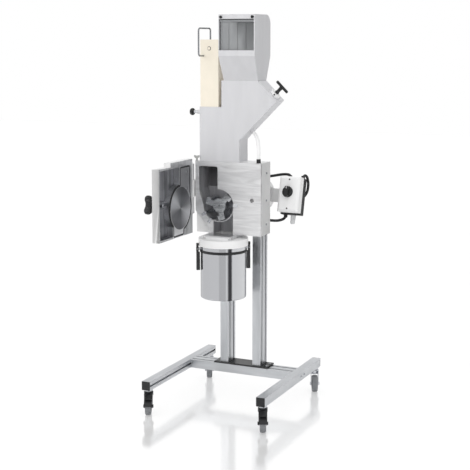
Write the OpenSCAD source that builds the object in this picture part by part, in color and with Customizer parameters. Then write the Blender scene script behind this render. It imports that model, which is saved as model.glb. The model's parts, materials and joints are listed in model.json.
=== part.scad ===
// Floor-standing laboratory cutting mill on a castered stand.
// Millimetres. X to the right, Y to the back, Z up.
// The origin lies on the floor, midway between the rails and midway along them.

/* [Stand] */
// Width of one square rail profile
profile_w = 38; // [32:1:44]
// Distance between the centre lines of the two side rails
rail_pitch = 527; // [490:1:640]
// Length of a side rail without its end caps
rail_len = 639; // [620:1:720]
// Thickness of a rail end cap
cap_t = 4; // [2:0.5:8]
// Width of the slot mouth in a profile
slot_w = 8; // [6:0.5:10]
// Depth of the slot in a profile
slot_d = 10; // [6:0.5:12]
// Radius of the bore along the middle of a profile
core_r = 3.4; // [2.5:0.1:5]
// Distance of the crossbar's middle behind the origin
crossbar_y = 100; // [80:1:120]
// Length of the black base plate along the crossbar
base_w = 256; // [240:1:300]
// Depth of the base plate
base_d = 84; // [78:1:110]
// Thickness of the base plate
base_t = 7; // [4:0.5:12]
// Height of the left column, from the base plate to the motor plate
column_h = 615; // [580:1:660]
// How much higher the right column reaches, beside the motor
column_more = 195; // [150:1:220]
// Middle of the left column, along X
col_left_x = -81; // [-88:1:-74]
// Middle of the right column, along X
col_right_x = 74; // [70:1:90]
// Middle of both columns, along Y
col_y = 110; // [108:1:112]
// Thickness of the plate that carries the motor
motor_plate_t = 10; // [6:0.5:14]

/* [Casters] */
// Height of the rails' underside above the floor
caster_h = 105; // [102:1:130]
// Diameter of a caster wheel
wheel_d = 75; // [60:1:78]
// Width of a caster wheel
wheel_w = 26; // [20:1:30]
// Distance of the wheel's axle behind the swivel axis
trail = 25; // [20:1:30]
// Direction in which the casters stand turned
caster_yaw = 24.6; // [0:0.1:60]
// Distance of the swivel axes before and behind the origin
caster_y = 297; // [280:1:305]
// Thickness of a fork's legs
leg_t = 3; // [2:0.5:4]
// Radius of the axle and of the swivel pin
axle_r = 5; // [4:0.1:6]

/* [Housing] */
// Left side of the mill housing, along X
house_x0 = -170; // [-180:1:-166]
// Right side of the mill housing, along X
house_x1 = 137; // [130:1:150]
// How far the housing's underside lies below the motor plate
house_drop = 18; // [9:1:25]
// Height of the housing
house_h = 310; // [300:1:330]
// Depth of the painted body behind the front plate
house_d = 90; // [86:1:96]
// Thickness of the machined front plate
plate_t = 12; // [8:0.5:16]
// Thickness of the housing's rear wall
rear_wall = 12; // [8:0.5:16]
// Radius of the grinding chamber
chamber_r = 71; // [70:0.5:76]
// Place of the rotor's axis, along X
rotor_x = -60; // [-64:1:-56]
// Height of the rotor's axis above the housing's underside
rotor_up = 121; // [115:1:127]
// Left side of the feed channel, along X
feed_x0 = -151; // [-153:1:-149]
// Right side of the feed channel, along X
feed_x1 = -64; // [-68:1:-60]
// Width of the feed channel along Y
feed_d = 84; // [78:1:86]
// Left side of the outlet, along X
outlet_x0 = -84; // [-90:1:-78]
// Right side of the outlet, along X
outlet_x1 = 8; // [0:1:14]

/* [Rotor] */
// Radius that the rotor's knives reach
cut_r = 65.5; // [60:0.5:66]
// Radius of the rotor's hub
hub_r = 30; // [26:0.5:34]
// Number of wings on the rotor
wings = 3; // [2:1:4]
// Length of the rotor along its axis
rotor_len = 80; // [70:1:84]
// Radius of the drive shaft
shaft_r = 17.5; // [14:0.5:20]
// Thickness of the bottom sieve
sieve_t = 2.5; // [1.5:0.5:3]
// Diameter of a sieve hole
sieve_hole = 8; // [4:0.5:9]

/* [Door] */
// Thickness of the door
door_t = 31.7; // [28:0.1:36]
// Length of the door, from its hinge end to its free end
door_len = 303; // [300:1:304]
// Height of the door's low part
door_h = 303; // [296:1:306]
// How far the door's top steps up towards the hinge
door_step_h = 17; // [10:1:24]
// Length of the stepped-up part
door_step_len = 200; // [150:1:240]
// Depth of the open pocket in the door
pocket_d = 28; // [20:0.5:28]
// Thickness of the door's side walls
door_wall = 8; // [5:0.5:10]
// Width of the seal cord
seal_w = 6; // [4:0.5:8]
// Radius of the line that the round part of the seal follows
seal_r = 93; // [88:0.5:95]
// Radius of the hinge pin
hinge_pin_r = 5; // [4:0.1:6]
// Radius of the hinge knuckles
knuckle_r = 12; // [9:0.5:13]
// Distance of the locking bolt from the hinge axis
bolt_reach = 279; // [270:1:284]
// Height of the locking bolt above the housing's underside
bolt_up = 151.5; // [143:0.5:173]
// Radius of the locking bolt
bolt_r = 7; // [5:0.1:8]
// How far the locking bolt travels
bolt_travel = 7.5; // [5:0.5:7.5]
// Radius that the star knob's lobes reach
star_r = 44; // [34:0.5:48]
// Depth of the star knob
star_d = 38; // [30:0.5:42]

/* [Hopper] */
// Thickness of the hopper's sheet
sheet = 2; // [1.5:0.1:3]
// Height of the front and left walls beside the tappet
shaft_h = 232; // [220:1:260]
// Height of the slide's lower edge on the hopper's right wall
slide_h = 94; // [90:1:96]
// Length of the slanted chute's underside
chute_len = 232; // [200:1:250]
// Height of the slanted chute's duct, square to the slide
duct_h = 114; // [108:1:120]
// Thickness of the chute's end plate
chute_cap_t = 6; // [3:0.5:12]
// Height of the funnel's lower edge above the housing
funnel_z = 344; // [344:1:350]
// Height of the funnel
funnel_h = 103; // [90:1:120]
// Height of the feed head
head_h = 171; // [150:1:190]
// Left side of the feed head, along X
head_x0 = -40; // [-46:1:-36]
// Right side of the feed head, along X
head_x1 = 125; // [121:1:132]
// Front of the feed head, along Y
head_y0 = -70; // [-80:1:-60]
// Back of the feed head, along Y
head_y1 = 96; // [88:1:104]
// Radius of the rounded edge at the head's top and back
head_round = 42; // [20:1:60]
// Height of the lip under the feed opening
lip_h = 24; // [16:1:32]
// Number of strips in the splash curtain
strips = 4; // [3:1:6]
// Gap between two strips
strip_gap = 1.2; // [0.6:0.1:3]
// Length of the strips
strip_len = 132; // [110:1:136]

/* [Tappet] */
// Height of the tappet's underside above the housing
tappet_up = 143; // [138:1:150]
// Height of the tappet
tappet_h = 372; // [340:1:400]
// How far the tappet travels down
tappet_travel = 210; // [150:1:211]
// Diameter of the bow handle's rod
bow_d = 7; // [5:0.5:9]
// Radius of the bow handle's bends
bow_bend = 12; // [8:0.5:16]
// How far the bow handle stands out in front of the tappet
bow_out = 47; // [40:1:60]
// Travel of the index plunger
plunger_travel = 10; // [8:0.5:12]
// Diameter of the index plunger's knob
plunger_d = 31; // [24:1:36]

/* [Collecting vessel] */
// Diameter of the collecting vessel
pot_d = 198; // [180:1:200]
// Height of the collecting vessel
pot_h = 227; // [200:1:235]
// Wall thickness of the collecting vessel
pot_wall = 1.5; // [1:0.1:3]
// Diameter of the vessel's lid
lid_d = 213; // [206:1:214]
// Height of the vessel's lid
lid_h = 32; // [24:1:34]
// Middle of the vessel, along X
pot_x = -34; // [-38:1:-30]
// Middle of the vessel, along Y
pot_y = -37; // [-40:1:-36]
// How far the vessel slides out
pot_travel = 250; // [120:1:260]
// Direction of the two clamps, from the X axis
clamp_dir = 35; // [30:1:38]
// Length of a clamp's lever below its pivot
clamp_len = 92; // [70:1:100]

/* [Drive] */
// Radius of the motor's body
motor_r = 85; // [75:1:88]
// Length of the motor's body behind its flange
motor_len = 208; // [180:1:230]
// Radius of the motor's flange
flange_r = 89; // [86:1:90]
// Thickness of the motor's flange
flange_t = 12; // [8:1:16]
// Radius of the fan cover
fan_r = 88; // [86:1:90]
// Depth of the fan cover
fan_d = 70; // [50:1:80]
// Radius of the bearing unit
bearing_r = 75; // [65:1:80]
// Depth of the bearing unit
bearing_d = 38; // [30:1:44]

/* [Switch box] */
// Width of the switch box
box_w = 95; // [85:1:105]
// Height of the switch box
box_h = 155; // [140:1:170]
// Depth of the white front shell
box_front_d = 50; // [45:1:60]
// Depth of the black rear shell
box_rear_d = 35; // [25:1:40]
// Middle of the switch box, along X
box_x = 204.5; // [200:0.5:215]
// Front of the switch box at its middle, along Y
box_y = 110; // [104:1:116]
// Middle of the switch box above the housing's underside
box_up = 170; // [158:1:178]
// How far the switch box leans back
box_tilt = 14.5; // [8:0.5:18]
// Width of the bevel around the front
box_bevel = 10; // [4:0.5:14]
// Diameter of the rotary switch
dial_d = 48; // [40:1:56]

/* [Clearances] */
// Radial running clearance of pins and shafts
run = 0.05; // [0.03:0.01:0.09]
// Gap between faces that move past each other
gap = 0.3; // [0.3:0.05:0.5]
// Gap around the tappet in its channel
guide_gap = 0.5; // [0.3:0.05:0.8]

/* [Hidden] */
$fn = 64;
// Overrun of every cut
eps = 1;
rail_x = rail_pitch / 2;
rail_top = caster_h + profile_w;
base_top = rail_top + base_t;
plate_z = base_top + column_h;
house_z0 = plate_z - house_drop;
rotor_z = house_z0 + rotor_up;
bolt_z = house_z0 + bolt_up;
box_z = house_z0 + box_up;
house_y1 = 72;
house_y0 = house_y1 - house_d;
plate_y = house_y0 - plate_t;
house_z1 = house_z0 + house_h;
house_w = house_x1 - house_x0;
chamber_y1 = house_y1 - rear_wall;
feed_y0 = house_y0;
feed_y1 = feed_y0 + feed_d;
feed_w = feed_x1 - feed_x0;
// Bridge of the front plate above the feed channel, and the channel's rounded corners
bridge_h = 21;
feed_corner_r = 8;
// Corner that is cut off the front plate, seen from the front
corner_x = 60;
corner_up = 95;
corner_low = 24;
// Stationary knives: directions, reach, thickness and inner radius
bar_dirs = [3, 209, 238];
bar_len = 24;
bar_w = 14;
bar_r = 67;
bar_end = 4;
// Sieve: first and last direction, and rows of holes
sieve_from = 247;
sieve_to = 354;
sieve_cols = 8;
sieve_rows = 5;
// Screws: shank radius, head radius, head height
screw_r = 2;
screw_head_r = 4.5;
screw_head_h = 4;
screw_in = 9;
// Hinge axis of the door
hinge_x = house_x0 - 13;
hinge_y = plate_y - 11;
hinge_gap = 13;
door_in_x = hinge_x + plate_y - gap - hinge_y;
door_out_x = door_in_x - door_t;
door_y1 = hinge_y - hinge_gap;
door_y0 = door_y1 - door_len;
door_low = house_z0 + gap;
// Liner of the door, seen on its inner face along Y and Z
liner_floor = door_in_x - pocket_d;
liner_recess = 0.5;
liner_y = hinge_x + hinge_y - rotor_x;
bolt_y = hinge_y - bolt_reach;
bolt_x = hinge_x + bolt_reach;
seal_rect_y0 = liner_y - 3;
seal_rect_y1 = liner_y + seal_r - 7;
seal_rect_z0 = 89;
seal_rect_z1 = door_h - rotor_up - 10;
seal_tongue_y0 = liner_y - 64;
seal_tongue_y1 = liner_y + 26;
seal_tongue_z = 117;
seal_d = 5;
liner_edge = 3.5;
slot_rib_h = 30;
slot_rib_t = 22;
slot_rib_w = 84;
slot_rib_cut = 12;
slot_rib_cut_d = 12;
// Door hinge: heights of the knuckles above the housing's underside
knuckle_z = [for (part = [0.274, 0.508, 0.75, 0.984]) part * door_h];
knuckle_web = 14;
leaf_t = 6;
leaf_d = 34;
pin_more = 6;
// Wing screw in the top of the front plate
wing_x = house_x0 + 5;
wing_y = plate_y + 5;
wing_l = 25;
wing_t = 5;
wing_h = 13;
wing_hub_r = 4.7;
wing_pin_r = 3;
wing_pin_l = 12;
// Star knob: lobes and neck
star_lobes = 3;
star_from = 22;
star_hub_r = 19;
star_lobe_r = 11;
star_gap = 8;
neck_r = 9;
neck_l = 6;
bolt_hole_r = bolt_r + 2;
bolt_hole_d = 30;
// Rotor: width of a wing, knife insert, screw
wing_w = 24;
blade_t = 8;
blade_h = 22;
rotor_gap = 6;
rotor_y0 = plate_y + rotor_gap;
wing_from = 45;
// Places along the slide, which climbs at 45 degrees
slope = 1 / sqrt(2);
slide_z = house_z1 + slide_h;
duct_in_x = feed_x1 + sheet * sqrt(2);
side_x = slide_h + duct_in_x;
end_x = side_x + chute_len * slope;
end_z = slide_z + chute_len * slope;
duct_x = end_x - duct_h * slope;
duct_z = end_z + duct_h * slope;
shaft_x0 = feed_x0 - sheet;
shaft_x1 = -50;
shaft_top = house_z1 + shaft_h;
funnel_low = house_z1 + funnel_z;
head_z0 = funnel_low + funnel_h;
head_z1 = head_z0 + head_h;
funnel_x0 = head_x0 + 2;
funnel_x1 = head_x1 - 6.5;
open_side = 1;
open_right = 4.5;
open_top = 19;
// Splash curtain
curtain_rod_r = 3;
curtain_hem_r = 6;
curtain_in = 12;
curtain_down = 26;
curtain_t = 2;
curtain_side = 3;
// Pusher in the slanted chute
pusher_in = 150;
pusher_plate_t = 5;
pusher_rod_r = 5;
pusher_up = 35;
pusher_out = 46;
pusher_stem_r = 9;
chute_boss_r = 22.5;
chute_boss_t = 10;
pusher_bar_l = 67;
pusher_bar_t = 12;
// Tappet and its bow handle
tappet_z0 = house_z1 + tappet_up;
tappet_z1 = tappet_z0 + tappet_h;
tappet_x0 = feed_x0 + guide_gap;
tappet_x1 = feed_x1 - guide_gap - guide_gap;
bow_x = tappet_x0 + 16;
bow_drop = 68;
bow_low = tappet_z1 - bow_drop;
bow_high = tappet_z1 + 47;
bow_reach = 68;
bow_back = feed_y0 + bow_reach;
tappet_bolt = 37;
// Index plunger on the shaft's left wall
plunger_up = 25.5;
plunger_z = shaft_top - plunger_up;
plunger_y = feed_y0 + 43;
plunger_pin_r = 4;
sleeve_r = 9;
sleeve_l = 30;
groove_w = 9;
groove_d = 9;
plunger_neck = 16;
plunger_knob_l = 20;
// Collecting vessel and its guide
guide_up = 14;
lid_top = house_z0 - guide_up;
outlet_y1 = house_y0 + 64;
lid_neck = 5;
guide_y1 = house_y1 - 8;
pot_z1 = lid_top - lid_h;
pot_z0 = pot_z1 - pot_h;
guide_x = (outlet_x0 + outlet_x1) / 2;
guide_neck = 52;
guide_wide = 60;
guide_flange = 4;
guide_y0 = -95;
guide_wall = 6;
band_h = 12;
band_t = 3;
band_down = 28;
// Clamps: pivot, lever and lug
clamp_r = pot_d / 2 + 13;
clamp_pivot = 13;
clamp_pin_r = 2.5;
clamp_w = 16;
clamp_t = 10;
clamp_cheek = 3.5;
clamp_top = 8;
clamp_in = 9.5;
clamp_step = 14;
lug_h = 12;
lug_out = 4;
catch_low = 10;
catch_top = 24;
catch_t = 5;
// Motor with its foot and terminal box
motor_y0 = house_y1 + bearing_d;
motor_y1 = motor_y0 + flange_t;
motor_y2 = motor_y1 + motor_len;
terminal_w = 80;
terminal_h = 62;
terminal_in = 58;
foot_w = 120;
foot_h = 30;
fan_slots = 6;
// Switch box
knob_dx = -3;
knob_dz = 8.6;
dial_l = 22;
dial_foot = 4;
dial_seat_r = 6;
box_rear_in = 0.5;
box_rear_low = 7;
gland_r = 12;
gland_l = 38;
gland_bore_r = 5.5;
gland_dx = 7.5;
bracket_t = 3;
bracket_x = col_right_x + profile_w / 2;
bracket_z0 = box_z - 32;
bracket_z1 = box_z + 28;
bracket_half = 30;
// Where a point of the switch box's own frame lies along Y and Z
function switch_at(y, z) = [box_y + y * cos(box_tilt) + z * sin(box_tilt),
    box_z - y * sin(box_tilt) + z * cos(box_tilt)];
// Hose and leads: radii, ends and routes
tube_sides = 10;
hose_r = 7.5;
hose_neck = 12;
hose_nut_r = 10;
hose_x0 = 73;
hose_y0 = 19;
hose_x1 = 117;
hose_y1 = -8;
hose_z1 = house_z1 + 17;
hose_points = [[hose_x0 + hose_neck * slope, hose_y0, slide_z + hose_x0 - side_x - hose_neck * slope],
    [91, 19, 1173], [104, 12, 1150], [113, 1, 1120], [117, -7, 1098], [117, -8, 1086],
    [hose_x1, hose_y1, hose_z1]];
lead_r = 6;
loop_r = 6;
shell_y = box_front_d + box_rear_d / 2;
shell_top = switch_at(shell_y, box_h / 2 - box_rear_in);
shell_low = switch_at(shell_y, -box_rear_low - box_h / 2);
shell_back = switch_at(box_front_d + box_rear_d, -8);
lead_x = box_x - 23.5;
lead_y = shell_top[0];
loop_x = box_x + 35.5;
motor_lead = [[rotor_x + terminal_w / 2, motor_y1 + 98, rotor_z + 94], [-8, motor_y1 + 98, rotor_z + 94],
    [30, motor_y1 + 100, rotor_z + 100], [85, motor_y1 + 94, rotor_z + 109],
    [lead_x - 41, lead_y + 7, rotor_z + 120], [lead_x - 10, lead_y + 3, rotor_z + 121],
    [lead_x, lead_y + 2, rotor_z + 112], [lead_x, lead_y, shell_top[1]]];
safety_x = box_x - 28.5;
safety_z = house_z0 + 53;
safety_lead = [[safety_x, shell_low[0], shell_low[1]], [safety_x, house_y1 + 86, safety_z + 14],
    [safety_x - 8, house_y1 + 76, safety_z], [safety_x - 26, house_y1 + 52, safety_z - 5],
    [125, house_y1 + 27, safety_z - 2], [115, house_y1 + 13, safety_z], [115, house_y1, safety_z]];
loop_lead = [[loop_x, lead_y, shell_top[1]], [loop_x, lead_y + 3, rotor_z + 112],
    [loop_x + 4, lead_y + 15, rotor_z + 119], [loop_x + 9, lead_y + 28, rotor_z + 107],
    [loop_x + 12, lead_y + 32, rotor_z + 77], [loop_x + 8, lead_y + 27, rotor_z + 44],
    [loop_x - 2, lead_y + 10, rotor_z + 24], [loop_x - 5, shell_back[0], shell_back[1]]];
// Casters
fork_inner = wheel_w / 2 + 1.5;
fork_outer = fork_inner + leg_t;
axle_z = wheel_d / 2;
crown_z = 80;
crown_h = 14.7;
crown_r = 20;
stem_h = 6;
bearing_h = 4;
stem_r = 18;
race_r = 14;
boss_r = 9;
axle_more = 4;
hub_nut_r = 7;
hood_r = wheel_d / 2 + 3;
hood_t = 4;
hood_from = 12;
hood_to = 96;
leg_in = 14;
leg_front = 30;
edge = 3;
brake_fall = 9;
brake_x = 26;
brake_z = 88.5;
brake_l = 44;
brake_t = 4;
brake_hub = 5;
brake_pin = 2.5;
corners = [[-1, -1], [1, -1], [-1, 1], [1, 1]];

// A box from one corner to the opposite one
module span(a, b) {
    translate(a)
        cube([b[0] - a[0], b[1] - a[1], b[2] - a[2]]);
}

// A round bar from one point along +Y
module bar_y(x, y0, y1, z, r) {
    translate([x, y0, z])
        rotate([-90, 0, 0])
            cylinder(h = y1 - y0, r = r);
}

// A round bar along +X
module bar_x(x0, x1, y, z, r) {
    translate([x0, y, z])
        rotate([0, 90, 0])
            cylinder(h = x1 - x0, r = r);
}

// An outline in X and Z, drawn out from y0 to y1
module slab_y(points, y0, y1) {
    translate([0, y1, 0])
        rotate([90, 0, 0])
            linear_extrude(y1 - y0)
                polygon(points);
}

// An outline in Y and Z, drawn out from x0 to x1
module slab_x(points, x0, x1) {
    translate([x0, 0, 0])
        rotate([90, 0, 90])
            linear_extrude(x1 - x0)
                polygon(points);
}

// A straight rod between two points, with round ends where it bends
module rod(a, b, r) {
    d = b - a;
    l = norm(d);
    translate(a)
        rotate([0, acos(d[2] / l), atan2(d[1], d[0])])
            cylinder(h = l, r = r);
}

// One screw head with its shank, the head's seat at the origin, pointing out along +Z
module screw() {
    difference() {
        cylinder(h = screw_head_h, r = screw_head_r);
        translate([0, 0, screw_head_h / 2])
            cylinder(h = screw_head_h, r = screw_head_r / 2, $fn = 6);
    }
}

// Profile of a rail: square, with its bore and one slot on the side towards +X
module rail_profile(slots) {
    difference() {
        square(profile_w, center = true);
        circle(r = core_r);
        for (a = slots)
            rotate(a)
                translate([profile_w / 2 - slot_d, -slot_w / 2])
                    square([slot_d + eps, slot_w]);
    }
}

module side_rail(side) {
    color("silver")
        translate([side * rail_x, rail_len / 2, caster_h + profile_w / 2])
            rotate([90, 0, 0])
                linear_extrude(rail_len)
                    rail_profile([90 + side * 90]);
}

module rail_left() {
    side_rail(-1);
}

module rail_right() {
    side_rail(1);
}

module crossbar() {
    color("silver")
        translate([-rail_x + profile_w / 2, crossbar_y, caster_h + profile_w / 2])
            rotate([90, 0, 90])
                linear_extrude(rail_pitch - profile_w)
                    difference() {
                        square([2 * profile_w, profile_w], center = true);
                        for (s = [-1, 1])
                            translate([s * profile_w / 2, 0])
                                circle(r = core_r);
                        for (s = [-1, 1])
                            translate([s * profile_w / 2 - slot_w / 2, profile_w / 2 - slot_d])
                                square([slot_w, slot_d + eps]);
                    }
}

module rail_end_caps() {
    color("black")
        for (sx = [-1, 1], sy = [-1, 1])
            translate([sx * rail_x, sy * (rail_len + cap_t) / 2, caster_h + profile_w / 2])
                cube([profile_w, cap_t, profile_w], center = true);
}

module base_plate() {
    color("black")
        span([-base_w / 2, crossbar_y + 4 - base_d / 2, rail_top],
            [base_w / 2, crossbar_y + 4 + base_d / 2, base_top]);
}

module column_left() {
    color("silver")
        translate([col_left_x, col_y, base_top])
            linear_extrude(column_h)
                column_profile();
}

module column_right() {
    color("silver")
        translate([col_right_x, col_y, base_top])
            linear_extrude(column_h + column_more)
                column_profile();
}

// Profile of a column: twice as deep as wide, with slots in its narrow and wide sides
module column_profile() {
    difference() {
        square([profile_w, 2 * profile_w], center = true);
        for (s = [-1, 1])
            translate([0, s * profile_w / 2])
                circle(r = core_r);
        for (s = [-1, 1])
            translate([profile_w / 2 - slot_d, s * profile_w / 2 - slot_w / 2])
                square([slot_d + eps, slot_w]);
    }
}

module motor_plate() {
    color("dimgray") {
        span([col_left_x - profile_w / 2, col_y - profile_w, plate_z],
            [col_right_x - profile_w / 2, col_y + profile_w, plate_z + motor_plate_t]);
        span([rotor_x - foot_w / 2, col_y, plate_z],
            [rotor_x + foot_w / 2, motor_y2, plate_z + motor_plate_t]);
    }
}

module cap_screws() {
    color("dimgray") {
        for (x = [-base_w / 2 + screw_in, base_w / 2 - screw_in], s = [-1, 1])
            translate([x, crossbar_y + s * profile_w / 2, base_top])
                screw();
        for (s = [-1, 1])
            translate([rail_x + profile_w / 2, crossbar_y + s * profile_w / 2, rail_top - profile_w / 2])
                rotate([0, 90, 0])
                    screw();
        for (s = [-1, 1])
            translate([-rail_x - profile_w / 2, crossbar_y + s * profile_w / 2, rail_top - profile_w / 2])
                rotate([0, -90, 0])
                    screw();
        for (x = [head_x0 + screw_in + sheet, head_x1 - screw_in - sheet])
            translate([x, head_y0, head_z1 - screw_in - sheet])
                rotate([90, 0, 0])
                    screw();
        for (z = [house_z0 + screw_in * 5, rotor_z + screw_in * 3, house_z1 - screw_in * 5])
            translate([house_x1, house_y0 + house_d / 2, z])
                rotate([0, 90, 0])
                    screw();
        translate([bracket_x + bracket_t, col_y, (bracket_z0 + bracket_z1) / 2])
            rotate([0, 90, 0])
                screw();
    }
}

// The feed channel, the chamber and the outlet, from y0 to y1
module mill_space(y0, y1, top) {
    bar_y(rotor_x, y0, min(y1, chamber_y1), rotor_z, chamber_r);
    span([feed_x0, y0, rotor_z + chamber_r], [feed_x1, y1, top]);
    slab_y([[feed_x0, rotor_z + chamber_r + eps], [feed_x1, rotor_z + chamber_r + eps],
        [rotor_x, rotor_z], [rotor_x - chamber_r, rotor_z], [feed_x0, rotor_z + chamber_r - sheet * 4]],
        y0, min(y1, chamber_y1));
    span([outlet_x0, y0, house_z0 - eps], [outlet_x1, min(y1, outlet_y1), rotor_z]);
    for (a = bar_dirs)
        knife_bar(a, y0, min(y1, chamber_y1));
}

// One stationary knife, which points at the rotor's axis
module knife_bar(a, y0, y1) {
    translate([rotor_x, y0, rotor_z])
        rotate([0, -a, 0])
            translate([bar_r, 0, -bar_w / 2])
                cube([bar_len, y1 - y0, bar_w]);
}

module housing_body() {
    color("whitesmoke")
        difference() {
            span([house_x0, house_y0, house_z0], [house_x1, house_y1, house_z1]);
            mill_space(house_y0 - eps, feed_y1, house_z1 + eps);
            bar_y(rotor_x, chamber_y1 - eps, house_y1 + eps, rotor_z, shaft_r + run);
            bar_y(bolt_x, house_y0 - eps, plate_y + bolt_hole_d, bolt_z, bolt_hole_r);
        }
}

module front_plate() {
    color("silver")
        difference() {
            slab_y([[house_x0, house_z1], [house_x1, house_z1], [house_x1, house_z0],
                [house_x0 + corner_x, house_z0], [house_x0 + corner_x, house_z0 + corner_low],
                [house_x0, house_z0 + corner_up]], plate_y, house_y0);
            difference() {
                mill_space(plate_y - eps, house_y0 + eps, house_z1 - bridge_h);
                for (x = [feed_x0, feed_x1 - feed_corner_r])
                    span([x, plate_y - 2 * eps, house_z1 - bridge_h - feed_corner_r],
                        [x + feed_corner_r, house_y0 + 2 * eps, house_z1]);
            }
            for (x = [feed_x0 + feed_corner_r, feed_x1 - feed_corner_r])
                bar_y(x, plate_y - eps, house_y0 + eps, house_z1 - bridge_h - feed_corner_r, feed_corner_r);
            bar_y(bolt_x, plate_y - eps, house_y0 + eps, bolt_z, bolt_hole_r);
            bar_z(wing_x, wing_y, house_z1 - wing_pin_l, house_z1 + eps, wing_pin_r + run);
        }
}

module cutting_bars() {
    color("gray")
        for (a = bar_dirs)
            knife_bar(a, plate_y, chamber_y1);
}

module bottom_sieve() {
    len = chamber_y1 - plate_y - sheet;
    arc = sieve_to - sieve_from;
    color("silver")
        translate([rotor_x, chamber_y1, rotor_z])
            rotate([90, 0, 0])
                difference() {
                    rotate(sieve_from)
                        rotate_extrude(angle = arc)
                            translate([chamber_r - sieve_t, 0])
                                square([sieve_t, len]);
                    for (i = [0 : sieve_cols - 1], j = [0 : sieve_rows - 1])
                        rotate(sieve_from + arc * (i + 1 / 2) / sieve_cols)
                            translate([chamber_r - sieve_t - eps, 0, len * (j + 1 / 2) / sieve_rows])
                                rotate([0, 90, 0])
                                    cylinder(h = sieve_t + 2 * eps, d = sieve_hole, $fn = 24);
                }
}

module outlet_guide() {
    side = guide_wide + gap;
    color("gray") {
        difference() {
            span([guide_x - side, guide_y0, lid_top + lid_neck + guide_flange + gap],
                [guide_x + side, guide_y1, house_z0]);
            span([outlet_x0, plate_y, lid_top], [outlet_x1, outlet_y1, house_z0 + eps]);
        }
        for (s = [0, 1])
            translate([guide_x, 0, 0])
                mirror([s, 0, 0]) {
                    span([side, guide_y0, lid_top + gap], [side + guide_wall, guide_y1, house_z0]);
                    span([guide_neck + gap, guide_y0, lid_top + gap],
                        [side + eps, guide_y1, lid_top + lid_neck - gap]);
                }
    }
}

module hinge_bracket() {
    z0 = house_z0 + knuckle_z[1] + gap;
    z1 = house_z0 + knuckle_z[2] - gap;
    color("black") {
        bar_z(hinge_x, hinge_y, z0, z1, knuckle_r);
        span([hinge_x - knuckle_web / 2, hinge_y, z0], [hinge_x + knuckle_web / 2, house_y0 + leaf_d, z1]);
        span([hinge_x, house_y0, z0], [house_x0, house_y0 + leaf_d, z1]);
        bar_z(hinge_x, hinge_y, house_z0 + knuckle_z[0] - pin_more,
            house_z0 + knuckle_z[3] + pin_more, hinge_pin_r);
    }
}

module bar_z(x, y, z0, z1, r) {
    translate([x, y, z0])
        cylinder(h = z1 - z0, r = r);
}

module bearing_unit() {
    color("dimgray")
        difference() {
            union() {
                bar_y(rotor_x, house_y1, motor_y0, rotor_z, bearing_r);
                span([rotor_x - bearing_r * 2 / 3, house_y1 + screw_head_h, plate_z + motor_plate_t],
                    [rotor_x + bearing_r * 2 / 3, motor_y0, rotor_z]);
            }
            bar_y(rotor_x, house_y1 - eps, motor_y0 + eps, rotor_z, shaft_r + run);
        }
}

module motor_body() {
    color("whitesmoke")
        difference() {
            union() {
                bar_y(rotor_x, motor_y0, motor_y1, rotor_z, flange_r);
                bar_y(rotor_x, motor_y1, motor_y2, rotor_z, motor_r);
                span([rotor_x - foot_w / 2, motor_y1 + foot_h, plate_z + motor_plate_t],
                    [rotor_x + foot_w / 2, motor_y2 - foot_h, plate_z + motor_plate_t + foot_h]);
                span([rotor_x - terminal_w / 2, motor_y1 + terminal_in, rotor_z],
                    [rotor_x + terminal_w / 2, motor_y1 + terminal_in + terminal_w,
                    rotor_z + motor_r - screw_in + terminal_h - screw_in]);
            }
            bar_y(rotor_x, motor_y0 - eps, motor_y1, rotor_z, shaft_r + run);
        }
}

module fan_cover() {
    color("whitesmoke")
        difference() {
            bar_y(rotor_x, motor_y2, motor_y2 + fan_d, rotor_z, fan_r);
            bar_y(rotor_x, motor_y2 - eps, motor_y2 + fan_d - sheet, rotor_z, fan_r - sheet);
            for (i = [0 : fan_slots - 1])
                translate([rotor_x, motor_y2 + fan_d - 2 * sheet, rotor_z])
                    rotate([0, 360 * i / fan_slots, 0])
                        translate([hub_r, 0, -slot_w / 2])
                            cube([fan_r - hub_r - slot_d, 3 * sheet, slot_w]);
        }
}

// Places a part in the switch box's own frame: origin at the middle of its front,
// X to the right, Y into the box, Z up along the leaning front
module in_switch() {
    translate([box_x, box_y, box_z])
        rotate([-box_tilt, 0, 0])
            children();
}

module switch_front() {
    color("whitesmoke")
        in_switch()
            difference() {
                intersection() {
                    slab_y([[-box_w / 2, -box_h / 2], [box_w / 2, -box_h / 2],
                        [box_w / 2, box_h / 2], [-box_w / 2, box_h / 2]], 0, box_front_d);
                    slab_x([[0, box_bevel - box_h / 2], [box_bevel, -box_h / 2], [box_front_d, -box_h / 2],
                        [box_front_d, box_h / 2], [box_bevel, box_h / 2], [0, box_h / 2 - box_bevel]],
                        -box_w / 2, box_w / 2);
                    linear_extrude(box_h, center = true)
                        polygon([[box_bevel - box_w / 2, 0], [box_w / 2 - box_bevel, 0],
                            [box_w / 2, box_bevel], [box_w / 2, box_front_d],
                            [-box_w / 2, box_front_d], [-box_w / 2, box_bevel]]);
                }
                bar_y(knob_dx, -eps, dial_l, knob_dz, dial_seat_r + run);
            }
}

module switch_rear() {
    color("black")
        in_switch()
            span([box_rear_in - box_w / 2, box_front_d, -box_rear_low - box_h / 2],
                [box_w / 2 - box_rear_in, box_front_d + box_rear_d, box_h / 2 - box_rear_in]);
}

module switch_dial() {
    color("black")
        in_switch() {
            difference() {
                bar_y(knob_dx, -dial_l, -gap, knob_dz, dial_d / 2);
                for (s = [-1, 1])
                    translate([knob_dx + s * dial_d / 3, -dial_l - eps, knob_dz - dial_d / 2])
                        translate([-dial_d / 8, 0, 0])
                            cube([dial_d / 4, dial_l - dial_foot, dial_d]);
            }
            bar_y(knob_dx, -gap - eps, dial_l - sheet, knob_dz, dial_seat_r);
        }
}

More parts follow.
